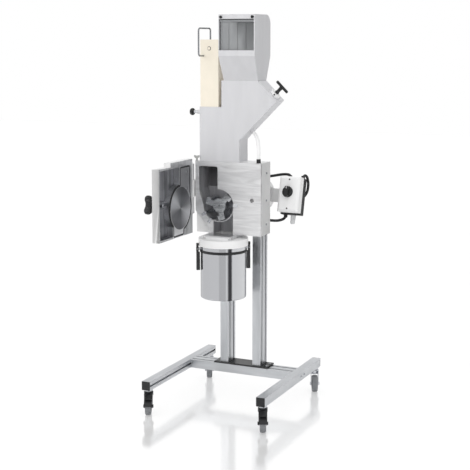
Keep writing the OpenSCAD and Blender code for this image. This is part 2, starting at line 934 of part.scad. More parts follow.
module switch_bracket() {
    back = box_front_d + box_rear_d;
    color("silver") {
        slab_x([[col_y - profile_w, bracket_z0], [col_y + profile_w, bracket_z0],
            switch_at(back, -bracket_half), switch_at(back + bracket_t, -bracket_half),
            switch_at(back + bracket_t, bracket_half), [col_y + profile_w, bracket_z1],
            [col_y - profile_w, bracket_z1]], bracket_x, bracket_x + bracket_t);
        in_switch()
            span([bracket_x - box_x, back, -bracket_half], [-bracket_half, back + bracket_t, bracket_half]);
    }
}

module mains_gland() {
    color("lightgray")
        in_switch()
            translate([gland_dx, shell_y, -box_rear_low - box_h / 2 - gland_l])
                difference() {
                    union() {
                        cylinder(h = gland_l, r = gland_r - sheet);
                        translate([0, 0, gland_l / 2])
                            cylinder(h = gland_l / 2, r = gland_r);
                    }
                    translate([0, 0, -eps])
                        cylinder(h = gland_l - sheet, r = gland_bore_r);
                }
}

// Points of a tube with rings that lie square to a smooth path through the given points
function curve(p, t, i) = let (
        a = p[max(i - 1, 0)], b = p[i], c = p[i + 1], d = p[min(i + 2, len(p) - 1)])
    (2 * b + (c - a) * t + (2 * a - 5 * b + 4 * c - d) * t * t + (3 * b - a - 3 * c + d) * t * t * t) / 2;
function path(p, n) = [for (i = [0 : len(p) - 2], k = [0 : n - 1]) curve(p, k / n, i), p[len(p) - 1]];
function unit(v) = v / norm(v);
function heading(q, i) = unit(q[min(i + 1, len(q) - 1)] - q[max(i - 1, 0)]);
// Each ring's side direction is carried on from the ring before it
function carry(q, i, u) = let (h = heading(q, i)) unit(u - h * (u * h));
function sides(q, i, u) = i == len(q) ? [] : let (w = carry(q, i, u)) concat([w], sides(q, i + 1, w));

module tube(points, r, n, start) {
    q = path(points, n);
    u = sides(q, 0, start);
    m = tube_sides;
    polyhedron(
        points = [for (i = [0 : len(q) - 1], k = [0 : m - 1]) let (v = cross(heading(q, i), u[i]))
            q[i] + r * (cos(360 * k / m) * u[i] + sin(360 * k / m) * v)],
        faces = concat(
            [for (i = [0 : len(q) - 2], k = [0 : m - 1])
                [i * m + k, (i + 1) * m + k, (i + 1) * m + (k + 1) % m, i * m + (k + 1) % m]],
            [[for (k = [0 : m - 1]) k]],
            [[for (k = [m - 1 : -1 : 0]) (len(q) - 1) * m + k]]));
}

module leads() {
    color("black") {
        tube(motor_lead, lead_r, 2, [0, 0, 1]);
        tube(safety_lead, lead_r, 2, [1, 0, 0]);
        tube(loop_lead, loop_r, 3, [1, 0, 0]);
    }
}

module air_hose() {
    color("white")
        tube(hose_points, hose_r, 3, [0, 1, 0]);
}

module hose_fittings() {
    color("black")
        bar_z(hose_x1, hose_y1, house_z1, hose_z1, hose_nut_r);
    color("silver")
        translate([hose_x0, hose_y0, slide_z + hose_x0 - side_x])
            rotate([0, 135, 0])
                cylinder(h = hose_neck, r = hose_r + sheet);
}

// Outline of the hopper's wall, seen from the front
module hopper_outline() {
    polygon([[shaft_x0, house_z1], [side_x, house_z1], [side_x, slide_z], [end_x, end_z],
        [duct_x, duct_z], [funnel_x1, funnel_low], [shaft_x0, funnel_low]]);
}

module front_out(y0, y1) {
    translate([0, y1, 0])
        rotate([90, 0, 0])
            linear_extrude(y1 - y0)
                children();
}

module hopper_body() {
    tip = sheet * slope;
    color("silver")
        difference() {
            union() {
                difference() {
                    front_out(feed_y0 - sheet, feed_y1 + sheet)
                        hopper_outline();
                    slab_y([[feed_x0, house_z1 - eps], [feed_x1, house_z1 - eps], [feed_x1, house_z1],
                        [end_x - tip + eps, end_z + tip + eps], [duct_x + tip + eps, duct_z - tip + eps],
                        [duct_x - sheet, duct_z - sheet], [funnel_x1 - sheet, funnel_low],
                        [funnel_x1 - sheet, funnel_low + eps], [feed_x0, funnel_low + eps]], feed_y0, feed_y1);
                    slab_y([[duct_in_x, house_z1], [duct_in_x, house_z1 - eps],
                        [side_x - sheet, house_z1 - eps], [side_x - sheet, slide_z - sheet]], feed_y0, feed_y1);
                    span([shaft_x0 - eps, feed_y0 - sheet - eps, shaft_top],
                        [shaft_x1, feed_y1, funnel_low + eps]);
                }
                span([shaft_x1, feed_y0, shaft_top], [shaft_x1 + sheet, feed_y1, funnel_low]);
                span([shaft_x1, feed_y0, funnel_low - sheet], [funnel_x0 + sheet, feed_y1, funnel_low]);
                difference() {
                    intersection() {
                        slab_y([[funnel_x0, funnel_low], [funnel_x1, funnel_low], [head_x1, head_z0],
                            [head_x0, head_z0]], head_y0, head_y1);
                        slab_x([[feed_y0 - sheet, funnel_low], [feed_y1 + sheet, funnel_low],
                            [head_y1, head_z0], [head_y0, head_z0]], head_x0, head_x1);
                    }
                    intersection() {
                        slab_y([[funnel_x0 + sheet, funnel_low - eps], [funnel_x1 - sheet, funnel_low - eps],
                            [head_x1 - sheet, head_z0 + eps], [head_x0 + sheet, head_z0 + eps]],
                            head_y0, head_y1);
                        slab_x([[feed_y0, funnel_low - eps], [feed_y1, funnel_low - eps],
                            [head_y1 - sheet, head_z0 + eps], [head_y0 + sheet, head_z0 + eps]],
                            head_x0, head_x1);
                    }
                }
                bar_x(shaft_x0 - sleeve_l, shaft_x0, plunger_y, plunger_z, sleeve_r);
            }
            bar_x(shaft_x0 - sleeve_l - eps, feed_x0 + eps, plunger_y, plunger_z, plunger_pin_r + run);
        }
}

// Outline of the head, drawn in by t
module head_form(t, low) {
    slab_x([[head_y0 + t, low], [head_y1 - t, low], [head_y1 - t, head_z1 - head_round],
        [head_y1 - head_round, head_z1 - head_round], [head_y1 - head_round, head_z1 - t],
        [head_y0 + t, head_z1 - t]], head_x0 + t, head_x1 - t);
    bar_x(head_x0 + t, head_x1 - t, head_y1 - head_round, head_z1 - head_round, head_round - t);
}

module hopper_head() {
    color("silver") {
        difference() {
            head_form(0, head_z0);
            head_form(sheet, head_z0 - eps);
            span([head_x0 + sheet + open_side, head_y0 - eps, head_z0 + lip_h],
                [head_x1 - open_right, head_y0 + sheet + eps, head_z1 - open_top]);
        }
        bar_x(head_x0 + sheet / 2, head_x1 - sheet / 2, head_y0 + curtain_in,
            head_z1 - curtain_down, curtain_rod_r);
    }
}

module splash_curtain() {
    x0 = head_x0 + sheet + curtain_side;
    x1 = head_x1 - sheet - curtain_side;
    w = (x1 - x0 - (strips - 1) * strip_gap) / strips;
    color("gray")
        difference() {
            union() {
                bar_x(x0, x1, head_y0 + curtain_in, head_z1 - curtain_down, curtain_hem_r);
                for (i = [0 : strips - 1])
                    translate([x0 + i * (w + strip_gap), head_y0 + curtain_in - curtain_t / 2,
                        head_z1 - curtain_down - strip_len])
                        cube([w, curtain_t, strip_len]);
            }
            bar_x(x0 - eps, x1 + eps, head_y0 + curtain_in, head_z1 - curtain_down, curtain_rod_r + run);
        }
}

// Places a part in the slide's own frame: origin at the lower corner of the chute's end,
// X out of the chute, Z square to the slide
module in_chute() {
    translate([end_x, 0, end_z])
        rotate([0, -45, 0])
            children();
}

module chute_cap() {
    y = (feed_y0 + feed_y1) / 2;
    color("silver")
        in_chute()
            difference() {
                union() {
                    span([0, feed_y0 - sheet, 0], [chute_cap_t, feed_y1 + sheet, duct_h]);
                    bar_x(0, chute_cap_t + chute_boss_t, y, pusher_up, chute_boss_r);
                }
                bar_x(-eps, chute_cap_t + chute_boss_t + eps, y, pusher_up, pusher_rod_r + run);
            }
}

module pusher() {
    y = (feed_y0 + feed_y1) / 2;
    bar = pusher_out + pusher_bar_t / 2;
    color("silver")
        in_chute() {
            bar_x(-pusher_in, bar, y, pusher_up, pusher_rod_r);
            bar_x(chute_cap_t + chute_boss_t + gap, bar, y, pusher_up, pusher_stem_r);
            span([-pusher_in - pusher_plate_t, feed_y0 + guide_gap, sheet + guide_gap],
                [-pusher_in, feed_y1 - guide_gap, duct_h - 2 * sheet]);
            translate([bar, y, pusher_up - pusher_bar_l / 2])
                cylinder(h = pusher_bar_l, d = pusher_bar_t);
        }
}

module tappet_block() {
    color("lightyellow") {
        difference() {
            span([tappet_x0, feed_y0 + guide_gap, tappet_z0], [tappet_x1, feed_y1 - guide_gap, tappet_z1]);
            span([tappet_x0 - eps, plunger_y - groove_w / 2, plunger_z - groove_w],
                [tappet_x0 + groove_d, plunger_y + groove_w / 2, plunger_z + tappet_travel + groove_w]);
        }
        translate([(tappet_x0 + tappet_x1) / 2, feed_y0 + guide_gap, tappet_z1 - tappet_bolt])
            rotate([90, 0, 0])
                cylinder(h = screw_head_h, r = screw_head_r + sheet);
    }
}

// One quarter of a bend in the bow handle's plane
module bow_corner(y, z, a) {
    translate([bow_x, y, z])
        rotate([90, 0, 90])
            rotate(a)
                rotate_extrude(angle = 90)
                    translate([bow_bend, 0])
                        circle(d = bow_d);
}

module tappet_bow() {
    y0 = feed_y0 + guide_gap - bow_out;
    r = bow_d / 2;
    b = bow_bend;
    color("silver") {
        bar_y(bow_x, y0 + b, feed_y0 + guide_gap, bow_low, r);
        bow_corner(y0 + b, bow_low + b, 180);
        bar_z(bow_x, y0, bow_low + b, bow_high - b, r);
        bow_corner(y0 + b, bow_high - b, 90);
        bar_y(bow_x, y0 + b, bow_back - b, bow_high, r);
        bow_corner(bow_back - b, bow_high - b, 0);
        bar_z(bow_x, bow_back, tappet_z1, bow_high - b, r);
    }
}

module index_plunger() {
    x0 = shaft_x0 - sleeve_l - gap;
    color("black") {
        bar_x(x0 - plunger_neck, tappet_x0 + groove_d - sheet, plunger_y, plunger_z, plunger_pin_r);
        bar_x(x0 - plunger_neck, x0, plunger_y, plunger_z, sleeve_r - sheet);
        bar_x(x0 - plunger_neck - plunger_knob_l, x0 - plunger_neck, plunger_y, plunger_z, plunger_d / 2);
    }
}

// Outline of the door's liner along Y and Z, drawn in from the seal's middle line by t
module liner_form(x0, x1, t) {
    bar_x(x0, x1, liner_y, rotor_z, seal_r - t);
    span([x0, seal_rect_y0 + t, rotor_z], [x1, seal_rect_y1 - t, rotor_z + seal_rect_z1 - t]);
    span([x0, seal_tongue_y0 + t, max(door_low, rotor_z - seal_tongue_z + t)],
        [x1, seal_tongue_y1 - t, rotor_z]);
}

module door_shell() {
    color("whitesmoke")
        difference() {
            union() {
                span([door_out_x, door_y0, door_low], [door_in_x, door_y1, door_low + door_h]);
                span([door_out_x, door_y1 - door_step_len, door_low],
                    [door_in_x, door_y1, door_low + door_h + door_step_h]);
                for (i = [0, 2])
                    span([hinge_x - knuckle_web / 2, door_y1, house_z0 + knuckle_z[i]],
                        [hinge_x + knuckle_web / 2, hinge_y, house_z0 + knuckle_z[i + 1] - gap * i / 2]);
                for (i = [0, 2])
                    bar_z(hinge_x, hinge_y, house_z0 + knuckle_z[i], house_z0 + knuckle_z[i + 1], knuckle_r);
            }
            difference() {
                span([liner_floor, door_y0 + door_wall, door_low + door_wall],
                    [door_in_x + eps, liner_y, door_low + door_h - door_wall]);
                span([liner_floor - eps, bolt_y - slot_rib_w / 2, bolt_z - slot_rib_h / 2],
                    [liner_floor + slot_rib_t, bolt_y + slot_rib_w / 2, bolt_z + slot_rib_h / 2]);
            }
            span([liner_floor + slot_rib_t - slot_rib_cut_d, door_y0 + door_wall, bolt_z - slot_rib_cut / 2],
                [liner_floor + slot_rib_t + eps, bolt_y + slot_rib_w / 2 + eps, bolt_z + slot_rib_cut / 2]);
            liner_form(liner_floor, door_in_x + eps, -liner_edge - seal_w / 2);
            bar_x(door_out_x - eps, door_in_x + eps, bolt_y, bolt_z, bolt_r + run);
            bar_z(hinge_x, hinge_y, door_low, door_low + door_h + door_step_h, hinge_pin_r + run);
        }
}

module door_liner() {
    color("silver")
        difference() {
            liner_form(liner_floor, door_in_x - liner_recess, -liner_edge - seal_w / 2);
            difference() {
                liner_form(door_in_x - seal_d, door_in_x + eps, -seal_w / 2);
                liner_form(door_in_x - seal_d - eps, door_in_x + 2 * eps, seal_w / 2);
            }
        }
}

module door_seal() {
    color("black")
        difference() {
            liner_form(door_in_x - seal_d, door_in_x, -seal_w / 2);
            liner_form(door_in_x - seal_d - eps, door_in_x + eps, seal_w / 2);
        }
}

module door_bolt() {
    color("silver")
        bar_x(door_out_x - star_gap - star_d + sheet, door_in_x - liner_recess, bolt_y, bolt_z, bolt_r);
}

module star_knob() {
    x1 = door_out_x - star_gap;
    color("black")
        difference() {
            union() {
                bar_x(x1 - star_d, x1, bolt_y, bolt_z, star_hub_r);
                for (i = [0 : star_lobes - 1])
                    translate([x1 - star_d, bolt_y, bolt_z])
                        rotate([star_from + 360 * i / star_lobes, 0, 0]) {
                            bar_x(0, star_d - neck_l, 0, star_r - star_lobe_r, star_lobe_r);
                            span([0, -star_lobe_r, 0], [star_d - neck_l, star_lobe_r, star_r - star_lobe_r]);
                        }
            }
            bar_x(x1 - star_d + sheet - run, x1 + eps, bolt_y, bolt_z, bolt_r + run);
        }
}

module wing_knob() {
    z = door_low + door_h + door_step_h + gap;
    color("gray") {
        bar_z(wing_x, wing_y, house_z1 - wing_pin_l + gap, house_z1 + gap + eps, wing_pin_r);
        bar_z(wing_x, wing_y, house_z1 + gap, z + eps, wing_hub_r);
        span([wing_x - wing_l / 2, wing_y - wing_t / 2, z],
            [wing_x + wing_l / 2, wing_y + wing_t / 2, z + wing_h]);
    }
}

// Places a part in the rotor's own frame: origin at the rotor's front, Z along the shaft,
// X towards the first wing
module in_rotor() {
    translate([rotor_x, rotor_y0, rotor_z])
        rotate([-90, 0, 0])
            children();
}

module rotor() {
    color("silver")
        in_rotor()
            difference() {
                union() {
                    cylinder(h = rotor_len, r = hub_r);
                    intersection() {
                        cylinder(h = rotor_len, r = cut_r - sheet);
                        for (i = [0 : wings - 1])
                            rotate(-wing_from - 360 * i / wings)
                                translate([0, -wing_w / 2, 0])
                                    cube([cut_r, wing_w, rotor_len]);
                    }
                }
                translate([0, 0, rotor_gap])
                    cylinder(h = rotor_len, r = shaft_r + run);
                translate([0, 0, -eps])
                    cylinder(h = rotor_len, r = axle_r);
            }
}

module rotor_blades() {
    color("gray")
        in_rotor()
            intersection() {
                cylinder(h = rotor_len, r = cut_r);
                for (i = [0 : wings - 1])
                    rotate(-wing_from - 360 * i / wings)
                        translate([cut_r - blade_h, wing_w / 2, 0])
                            cube([blade_h, blade_t, rotor_len]);
            }
}

module drive_shaft() {
    color("gray")
        bar_y(rotor_x, rotor_y0 + rotor_gap, motor_y1 - sheet, rotor_z, shaft_r);
}

module vessel_pot() {
    color("silver") {
        translate([pot_x, pot_y, pot_z0])
            difference() {
                union() {
                    cylinder(h = pot_h, d = pot_d);
                    translate([0, 0, pot_h - band_down])
                        cylinder(h = band_h, r = pot_d / 2 + band_t);
                }
                translate([0, 0, 2 * pot_wall])
                    cylinder(h = pot_h, r = pot_d / 2 - pot_wall);
            }
        for (s = [0, 180])
            at_clamp(s)
                clamp_lug();
    }
}

// Places a part at one of the two clamps: origin on the vessel's axis at the pivot's height
module at_clamp(turn) {
    translate([pot_x, pot_y, pot_z1 - clamp_pivot])
        rotate(clamp_dir + turn)
            children();
}

module clamp_lug() {
    span([pot_d / 2 - pot_wall / 2, gap + clamp_cheek - clamp_w / 2, -lug_h / 2],
        [clamp_r + lug_out, clamp_w / 2 - clamp_cheek - gap, lug_h / 2]);
    bar_y(clamp_r, -clamp_w / 2, clamp_w / 2, 0, clamp_pin_r);
}

module clamp(turn) {
    color("black")
        at_clamp(turn)
            difference() {
                union() {
                    span([clamp_r - clamp_in, -clamp_w / 2, -clamp_len],
                        [clamp_r + clamp_t / 2, clamp_w / 2, -clamp_step]);
                    span([clamp_r - lug_out, -clamp_w / 2, -clamp_len],
                        [clamp_r + clamp_t / 2, clamp_w / 2, clamp_top]);
                }
                span([clamp_r - clamp_t, clamp_cheek - clamp_w / 2, -lug_h],
                    [clamp_r + clamp_t, clamp_w / 2 - clamp_cheek, clamp_top + eps]);
                bar_y(clamp_r, -clamp_w, clamp_w, 0, clamp_pin_r + run);
                for (s = [0, 1])
                    mirror([0, s, 0])
                        span([clamp_r - clamp_t, clamp_w / 2 - clamp_cheek / 2, -clamp_len / 2],
                            [clamp_r + clamp_t, clamp_w, -lug_h]);
            }
}

module clamp_front() {
    clamp(180);
}

module clamp_rear() {
    clamp(0);
}

module vessel_lid() {
    color("whitesmoke")
        difference() {
            union() {
                translate([pot_x, pot_y, pot_z1])
                    cylinder(h = lid_h, d = lid_d);
                span([guide_x - guide_neck, guide_y0, lid_top - sheet],
                    [guide_x + guide_neck, guide_y1, lid_top + lid_neck]);
                span([guide_x - guide_wide, guide_y0, lid_top + lid_neck],
                    [guide_x + guide_wide, guide_y1, lid_top + lid_neck + guide_flange]);
                for (s = [0, 180])
                    at_clamp(s)
                        difference() {
                            span([lid_d / 2 - catch_t, -clamp_w / 2, catch_low],
                                [clamp_r + clamp_t / 2, clamp_w / 2, catch_top]);
                            span([0, -clamp_w, 0], [clamp_r - lug_out, clamp_w, catch_top - catch_t]);
                        }
            }
            translate([pot_x, pot_y, pot_z1 - eps])
                cylinder(h = lid_h + eps - 2 * sheet, r = pot_d / 2 - pot_wall);
            span([outlet_x0, plate_y, pot_z1], [outlet_x1, outlet_y1, house_z0]);
        }
}

// Places a part at a caster: origin on the floor under the swivel, X towards the trail
module at_caster(i) {
    translate([corners[i][0] * rail_x, corners[i][1] * caster_y, 0])
        rotate(caster_yaw - 90)
            children();
}

module caster_stems() {
    color("silver")
        for (i = [0 : 3])
            at_caster(i) {
                bar_z(0, 0, caster_h - stem_h, caster_h, stem_r);
                bar_z(0, 0, caster_h - stem_h - bearing_h, caster_h, race_r);
                bar_z(0, 0, crown_z - gap, caster_h, axle_r);
                bar_z(0, 0, crown_z - gap - stem_h, crown_z - gap, hub_nut_r + eps);
            }
}

module fork(i) {
    top = crown_z + crown_h;
    at_caster(i) {
        difference() {
            union() {
                bar_z(0, 0, crown_z, top, crown_r);
                span([0, -fork_outer, crown_z], [trail, fork_outer, crown_z + leg_t]);
                for (s = [0, 1])
                    mirror([0, s, 0]) {
                        slab_y([[-leg_in, top - leg_t], [leg_front, top - leg_t], [leg_front, crown_z],
                            [trail + boss_r, axle_z], [trail - boss_r, axle_z], [-leg_in, crown_z]],
                            fork_inner, fork_outer);
                        bar_y(trail, fork_inner, fork_outer, axle_z, boss_r);
                    }
            }
            bar_z(0, 0, crown_z - eps, top + eps, axle_r + run);
        }
        bar_y(trail, -fork_outer - axle_more, fork_outer + axle_more, axle_z, axle_r);
        for (s = [0, 1])
            mirror([0, s, 0])
                translate([trail, fork_outer, axle_z])
                    rotate([-90, 0, 0])
                        cylinder(h = axle_more, r = hub_nut_r, $fn = 6);
    }
}

// The braked casters also carry a hood over the tread and the brake's pin
module braked_fork(i) {
    color("black") {
        fork(i);
        at_caster(i) {
            translate([trail, fork_inner + leg_t / 2, axle_z])
                rotate([90, 0, 0])
                    rotate(hood_from)
                        rotate_extrude(angle = hood_to - hood_from)
                            translate([hood_r, 0])
                                square([hood_t, 2 * fork_inner + leg_t]);
            bar_y(brake_x, -fork_outer, fork_outer, brake_z, brake_pin);
        }
    }
}

module plain_fork(i) {
    color("silver")
        fork(i);
}

module fork_fl() {
    braked_fork(0);
}

module fork_fr() {
    braked_fork(1);
}

module fork_bl() {
    plain_fork(2);
}

module fork_br() {
    plain_fork(3);
}

module wheel(i) {
    color("darkgray")
        at_caster(i)
            difference() {
                union() {
                    bar_y(trail, -wheel_w / 2 + edge, wheel_w / 2 - edge, axle_z, wheel_d / 2);
                    bar_y(trail, -wheel_w / 2, wheel_w / 2, axle_z, wheel_d / 2 - edge);
                    bar_y(trail, gap - fork_inner, fork_inner - gap, axle_z, boss_r);
                }
                bar_y(trail, -wheel_w, wheel_w, axle_z, axle_r + run);
            }
}

module wheel_fl() {
    wheel(0);
}

module wheel_fr() {
    wheel(1);
}

module wheel_bl() {
    wheel(2);
}

module wheel_br() {
    wheel(3);
}

module brake(i) {
    w = fork_inner - gap;
    color("black")
        at_caster(i)
            difference() {
                union() {
                    bar_y(brake_x, -w, w, brake_z, brake_hub);
                    slab_y([[brake_x, brake_z + brake_hub], [brake_x, brake_z + brake_hub - brake_t],
                        [brake_x + brake_l, brake_z - brake_fall], [brake_x + brake_l, brake_z - brake_fall
                        + brake_t]], -w, w);
                }
                bar_y(brake_x, -fork_outer, fork_outer, brake_z, brake_pin + run);
            }
}

module brake_fl() {
    brake(0);
}

module brake_fr() {
    brake(1);
}

rail_left();
rail_right();
crossbar();
rail_end_caps();
caster_stems();
base_plate();
column_left();
column_right();
motor_plate();
cap_screws();
housing_body();
front_plate();
cutting_bars();
bottom_sieve();
outlet_guide();
hinge_bracket();
bearing_unit();
motor_body();
fan_cover();
switch_front();
switch_rear();
switch_bracket();
mains_gland();
leads();
hopper_body();
hopper_head();
chute_cap();
hose_fittings();
air_hose();
door_shell();
door_liner();
door_seal();
door_bolt();
star_knob();
wing_knob();
rotor();
rotor_blades();
drive_shaft();
tappet_block();
tappet_bow();
index_plunger();
pusher();
splash_curtain();
switch_dial();
vessel_pot();
vessel_lid();
clamp_front();
clamp_rear();
fork_fl();
fork_fr();
fork_bl();
fork_br();
wheel_fl();
wheel_fr();
wheel_bl();
wheel_br();
brake_fl();
brake_fr();
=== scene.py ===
# Floor-standing laboratory cutting mill: looks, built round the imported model
import json
import math

import bmesh
import bpy
from mathutils import Matrix, Vector


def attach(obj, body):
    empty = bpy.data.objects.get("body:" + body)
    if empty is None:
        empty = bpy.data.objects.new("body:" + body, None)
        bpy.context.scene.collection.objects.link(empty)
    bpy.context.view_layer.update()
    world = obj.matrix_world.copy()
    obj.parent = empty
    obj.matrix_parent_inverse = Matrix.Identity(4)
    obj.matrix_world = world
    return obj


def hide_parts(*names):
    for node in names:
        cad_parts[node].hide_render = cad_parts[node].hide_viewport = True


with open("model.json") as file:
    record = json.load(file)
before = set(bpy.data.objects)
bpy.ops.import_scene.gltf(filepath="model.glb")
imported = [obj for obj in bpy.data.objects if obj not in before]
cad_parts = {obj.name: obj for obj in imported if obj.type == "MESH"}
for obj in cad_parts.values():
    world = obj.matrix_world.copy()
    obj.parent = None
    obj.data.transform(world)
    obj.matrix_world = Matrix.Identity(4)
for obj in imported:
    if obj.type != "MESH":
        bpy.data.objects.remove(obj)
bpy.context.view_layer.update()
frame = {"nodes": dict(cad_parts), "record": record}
nodes = frame["nodes"]
bodyOf = {n: b for b, names in frame["record"]["behaviour"]["bodies"].items() for n in names}
slotOf = {row["node"]: row["material_slot"] for row in frame["record"]["subparts"]}
mm = 0.001
print("frame loaded:", len(nodes), "nodes")


def hexColour(code):  # sRGB hex to the linear colour that a shader takes
    values = [int(code[i : i + 2], 16) / 255 for i in (1, 3, 5)]
    return [v / 12.92 if v <= 0.04045 else ((v + 0.055) / 1.055) ** 2.4 for v in values] + [1.0]


# A node with its settings, values and links. Shader kinds go in without their ShaderNode in front.
def addNode(tree, kind, settings=None, inputs=None):
    node = tree.nodes.new(kind if "Node" in kind else "ShaderNode" + kind)
    for key, value in (settings or {}).items():
        setattr(node, key, value)
    for key, value in (inputs or {}).items():
        if isinstance(value, bpy.types.NodeSocket):
            tree.links.new(value, node.inputs[key])
        else:
            node.inputs[key].default_value = value
    return node


def newObject(name, data):
    obj = bpy.data.objects.new(name, data)
    bpy.context.scene.collection.objects.link(obj)
    return obj


def newFinish(name, colour, metallic, roughness, **more):
    material = bpy.data.materials.new(name)
    material.use_nodes = True
    tree = material.node_tree
    shader = tree.nodes["Principled BSDF"]
    values = {"Base Color": hexColour(colour), "Metallic": metallic, "Roughness": roughness, **more}
    for key, value in values.items():
        shader.inputs[key].default_value = value
    return material, tree, shader


def objectPoint(tree, stretch=(1, 1, 1), turn=(0, 0, 0)):  # object coordinates in metres, stretched
    place = addNode(tree, "TexCoord")
    return addNode(tree, "Mapping", None, {
        "Vector": place.outputs["Object"], "Scale": stretch, "Rotation": turn}).outputs[0]


def noiseAt(tree, point, scale, detail=2.0, rough=0.5, distortion=0.0):
    return addNode(tree, "TexNoise", None, {
        "Vector": point, "Scale": scale, "Detail": detail, "Roughness": rough,
        "Distortion": distortion}).outputs["Fac"]


def mapRange(tree, value, low, high, fromLow=0.0, fromHigh=1.0):
    return addNode(tree, "MapRange", None, {
        "Value": value, "From Min": fromLow, "From Max": fromHigh, "To Min": low,
        "To Max": high}).outputs[0]


def maths(tree, kind, first, second=0.0):
    return addNode(tree, "Math", {"operation": kind}, {0: first, 1: second}).outputs[0]


def mixShader(tree, factor, first, second):
    return addNode(tree, "MixShader", None, {
        0: factor, 1: first.outputs[0], 2: second.outputs[0]})


def showSurface(tree, shader):
    tree.links.new(shader.outputs[0], tree.nodes["Material Output"].inputs["Surface"])


def mixColour(tree, factor, first, second):
    node = addNode(tree, "Mix", {"data_type": "RGBA"}, {0: factor})
    for index, value in ((6, first), (7, second)):
        if isinstance(value, bpy.types.NodeSocket):
            tree.links.new(value, node.inputs[index])
        else:
            node.inputs[index].default_value = hexColour(value)
    return node.outputs[2]


def varyRoughness(tree, shader, factor, low, high, fromLow=0.3, fromHigh=0.7):
    tree.links.new(mapRange(tree, factor, low, high, fromLow, fromHigh), shader.inputs["Roughness"])


def addBump(tree, shader, height, strength, distance):
    bump = addNode(tree, "Bump", None, {
        "Height": height, "Strength": strength, "Distance": distance})
    tree.links.new(bump.outputs[0], shader.inputs["Normal"])


# Finishes. Pattern scales are one over the real spacing in metres.
def shaded(code, share):  # a hex colour made darker or lighter by a share
    parts = [round(int(code[i : i + 2], 16) * (1 + share)) for i in (1, 3, 5)]
    return "#" + "".join(f"{max(0, min(255, part)):02x}" for part in parts)


def tint(tree, shader, colour, factor, spread):  # lets the base colour vary a little round its value
    tree.links.new(mixColour(tree, factor, shaded(colour, -spread), shaded(colour, spread / 2)),
        shader.inputs["Base Color"])


def powderPaint(name, colour, roughness=0.42):  # powder coat: fine orange peel, soft highlights
    material, tree, shader = newFinish(name, colour, 0.0, roughness, IOR=1.5)
    point = objectPoint(tree)
    peel = noiseAt(tree, point, 1 / 0.0016)  # peel cells about 1.6 mm wide
    cloud = noiseAt(tree, point, 1 / 0.12, 3.0)
    varyRoughness(tree, shader, cloud, roughness - 0.05, roughness + 0.06)
    tint(tree, shader, colour, mapRange(tree, cloud, 0, 1, 0.3, 0.7), 0.025)
    addBump(tree, shader, peel, 0.1, 0.0003)
    return material


def mouldedPlastic(name, colour, roughness=0.4, grain=0.0007, bump=0.12):  # fine spark-eroded grain
    material, tree, shader = newFinish(name, colour, 0.0, roughness, IOR=1.46)
    point = objectPoint(tree)
    grainFac = noiseAt(tree, point, 1 / grain, 1.0)
    cloud = noiseAt(tree, point, 1 / 0.05, 2.0)
    varyRoughness(tree, shader, cloud, roughness - 0.06, roughness + 0.06)
    tint(tree, shader, colour, mapRange(tree, cloud, 0, 1, 0.3, 0.7), 0.012)
    addBump(tree, shader, grainFac, bump, 0.0002)
    return material


# Metal drawn, rolled or brushed along one axis: long fine lines across the light
def linedMetal(name, colour, roughness, along, spacing, length, spread=0.08, bump=0.1, shade=0.05,
        wave=0.0):
    material, tree, shader = newFinish(name, colour, 1.0, roughness)
    stretch = [1 / spacing] * 3
    stretch["XYZ".index(along)] = 1 / length
    lines = noiseAt(tree, objectPoint(tree, stretch), 1.0, 3.0, 0.6, wave)
    slow = [1 / 0.03] * 3
    slow["XYZ".index(along)] = 1 / 0.2
    broad = noiseAt(tree, objectPoint(tree, slow), 1.0, 2.0, 0.5, wave)  # bands about 30 mm apart
    varyRoughness(tree, shader, lines, roughness - spread, roughness + spread)
    both = addNode(tree, "Mix", {"data_type": "FLOAT"}, {0: 0.6, 2: lines, 3: broad})
    tint(tree, shader, colour, mapRange(tree, both.outputs[0], 0, 1, 0.35, 0.65), shade)
    addBump(tree, shader, lines, bump, 0.0002)
    return material


def polishedMetal(name, colour, roughness, waver=0.02):  # polished or plated: clean, barely wavy
    material, tree, shader = newFinish(name, colour, 1.0, roughness)
    point = objectPoint(tree)
    smear = noiseAt(tree, point, 1 / 0.03, 3.0)
    varyRoughness(tree, shader, smear, roughness, roughness + waver * 2, 0.35, 0.75)
    tint(tree, shader, colour, mapRange(tree, smear, 0, 1, 0.3, 0.7), 0.02)
    addBump(tree, shader, noiseAt(tree, point, 1 / 0.02, 1.0), waver, 0.001)
    return material


# Polished pot: painted reflections, the soft upright bands of a bright room painted into the base colour round
# its axis
def reflectionPaintedMetal(name, colour, roughness, spot, bands):
    material = polishedMetal(name, colour, roughness)
    tree = material.node_tree
    part = addNode(tree, "SeparateXYZ", None, {0: objectPoint(tree)})
    side = maths(tree, "SUBTRACT", part.outputs[0], spot[0])
    back = maths(tree, "SUBTRACT", part.outputs[1], spot[1])
    turn = mapRange(tree, maths(tree, "ARCTAN2", back, side), 0, 1, -math.pi, math.pi)
    ramp = addNode(tree, "ValToRGB", None, {0: turn})
    stops = ramp.color_ramp.elements
    stops.remove(stops[1])
    stops[0].position, stops[0].color = 0, hexColour(bands[0][1])
    for degrees, shade in bands[1:]:
        stops.new((degrees + 180) / 360).color = hexColour(shade)
    tree.links.new(ramp.outputs[0], tree.nodes["Principled BSDF"].inputs["Base Color"])
    return material


# Face turned on a lathe inside the door: painted highlights, fans of light and dark streaks round the chamber's
# axis in the base colour. Outside the disc it is plain above the axis and painted lighter below it, a painted
# reflection
turned = {"y": -0.164, "z": 0.868, "radius": 0.09, "marks": 0.0016, "fan": (0, -0.9, 0.43), "narrow": 5.0}


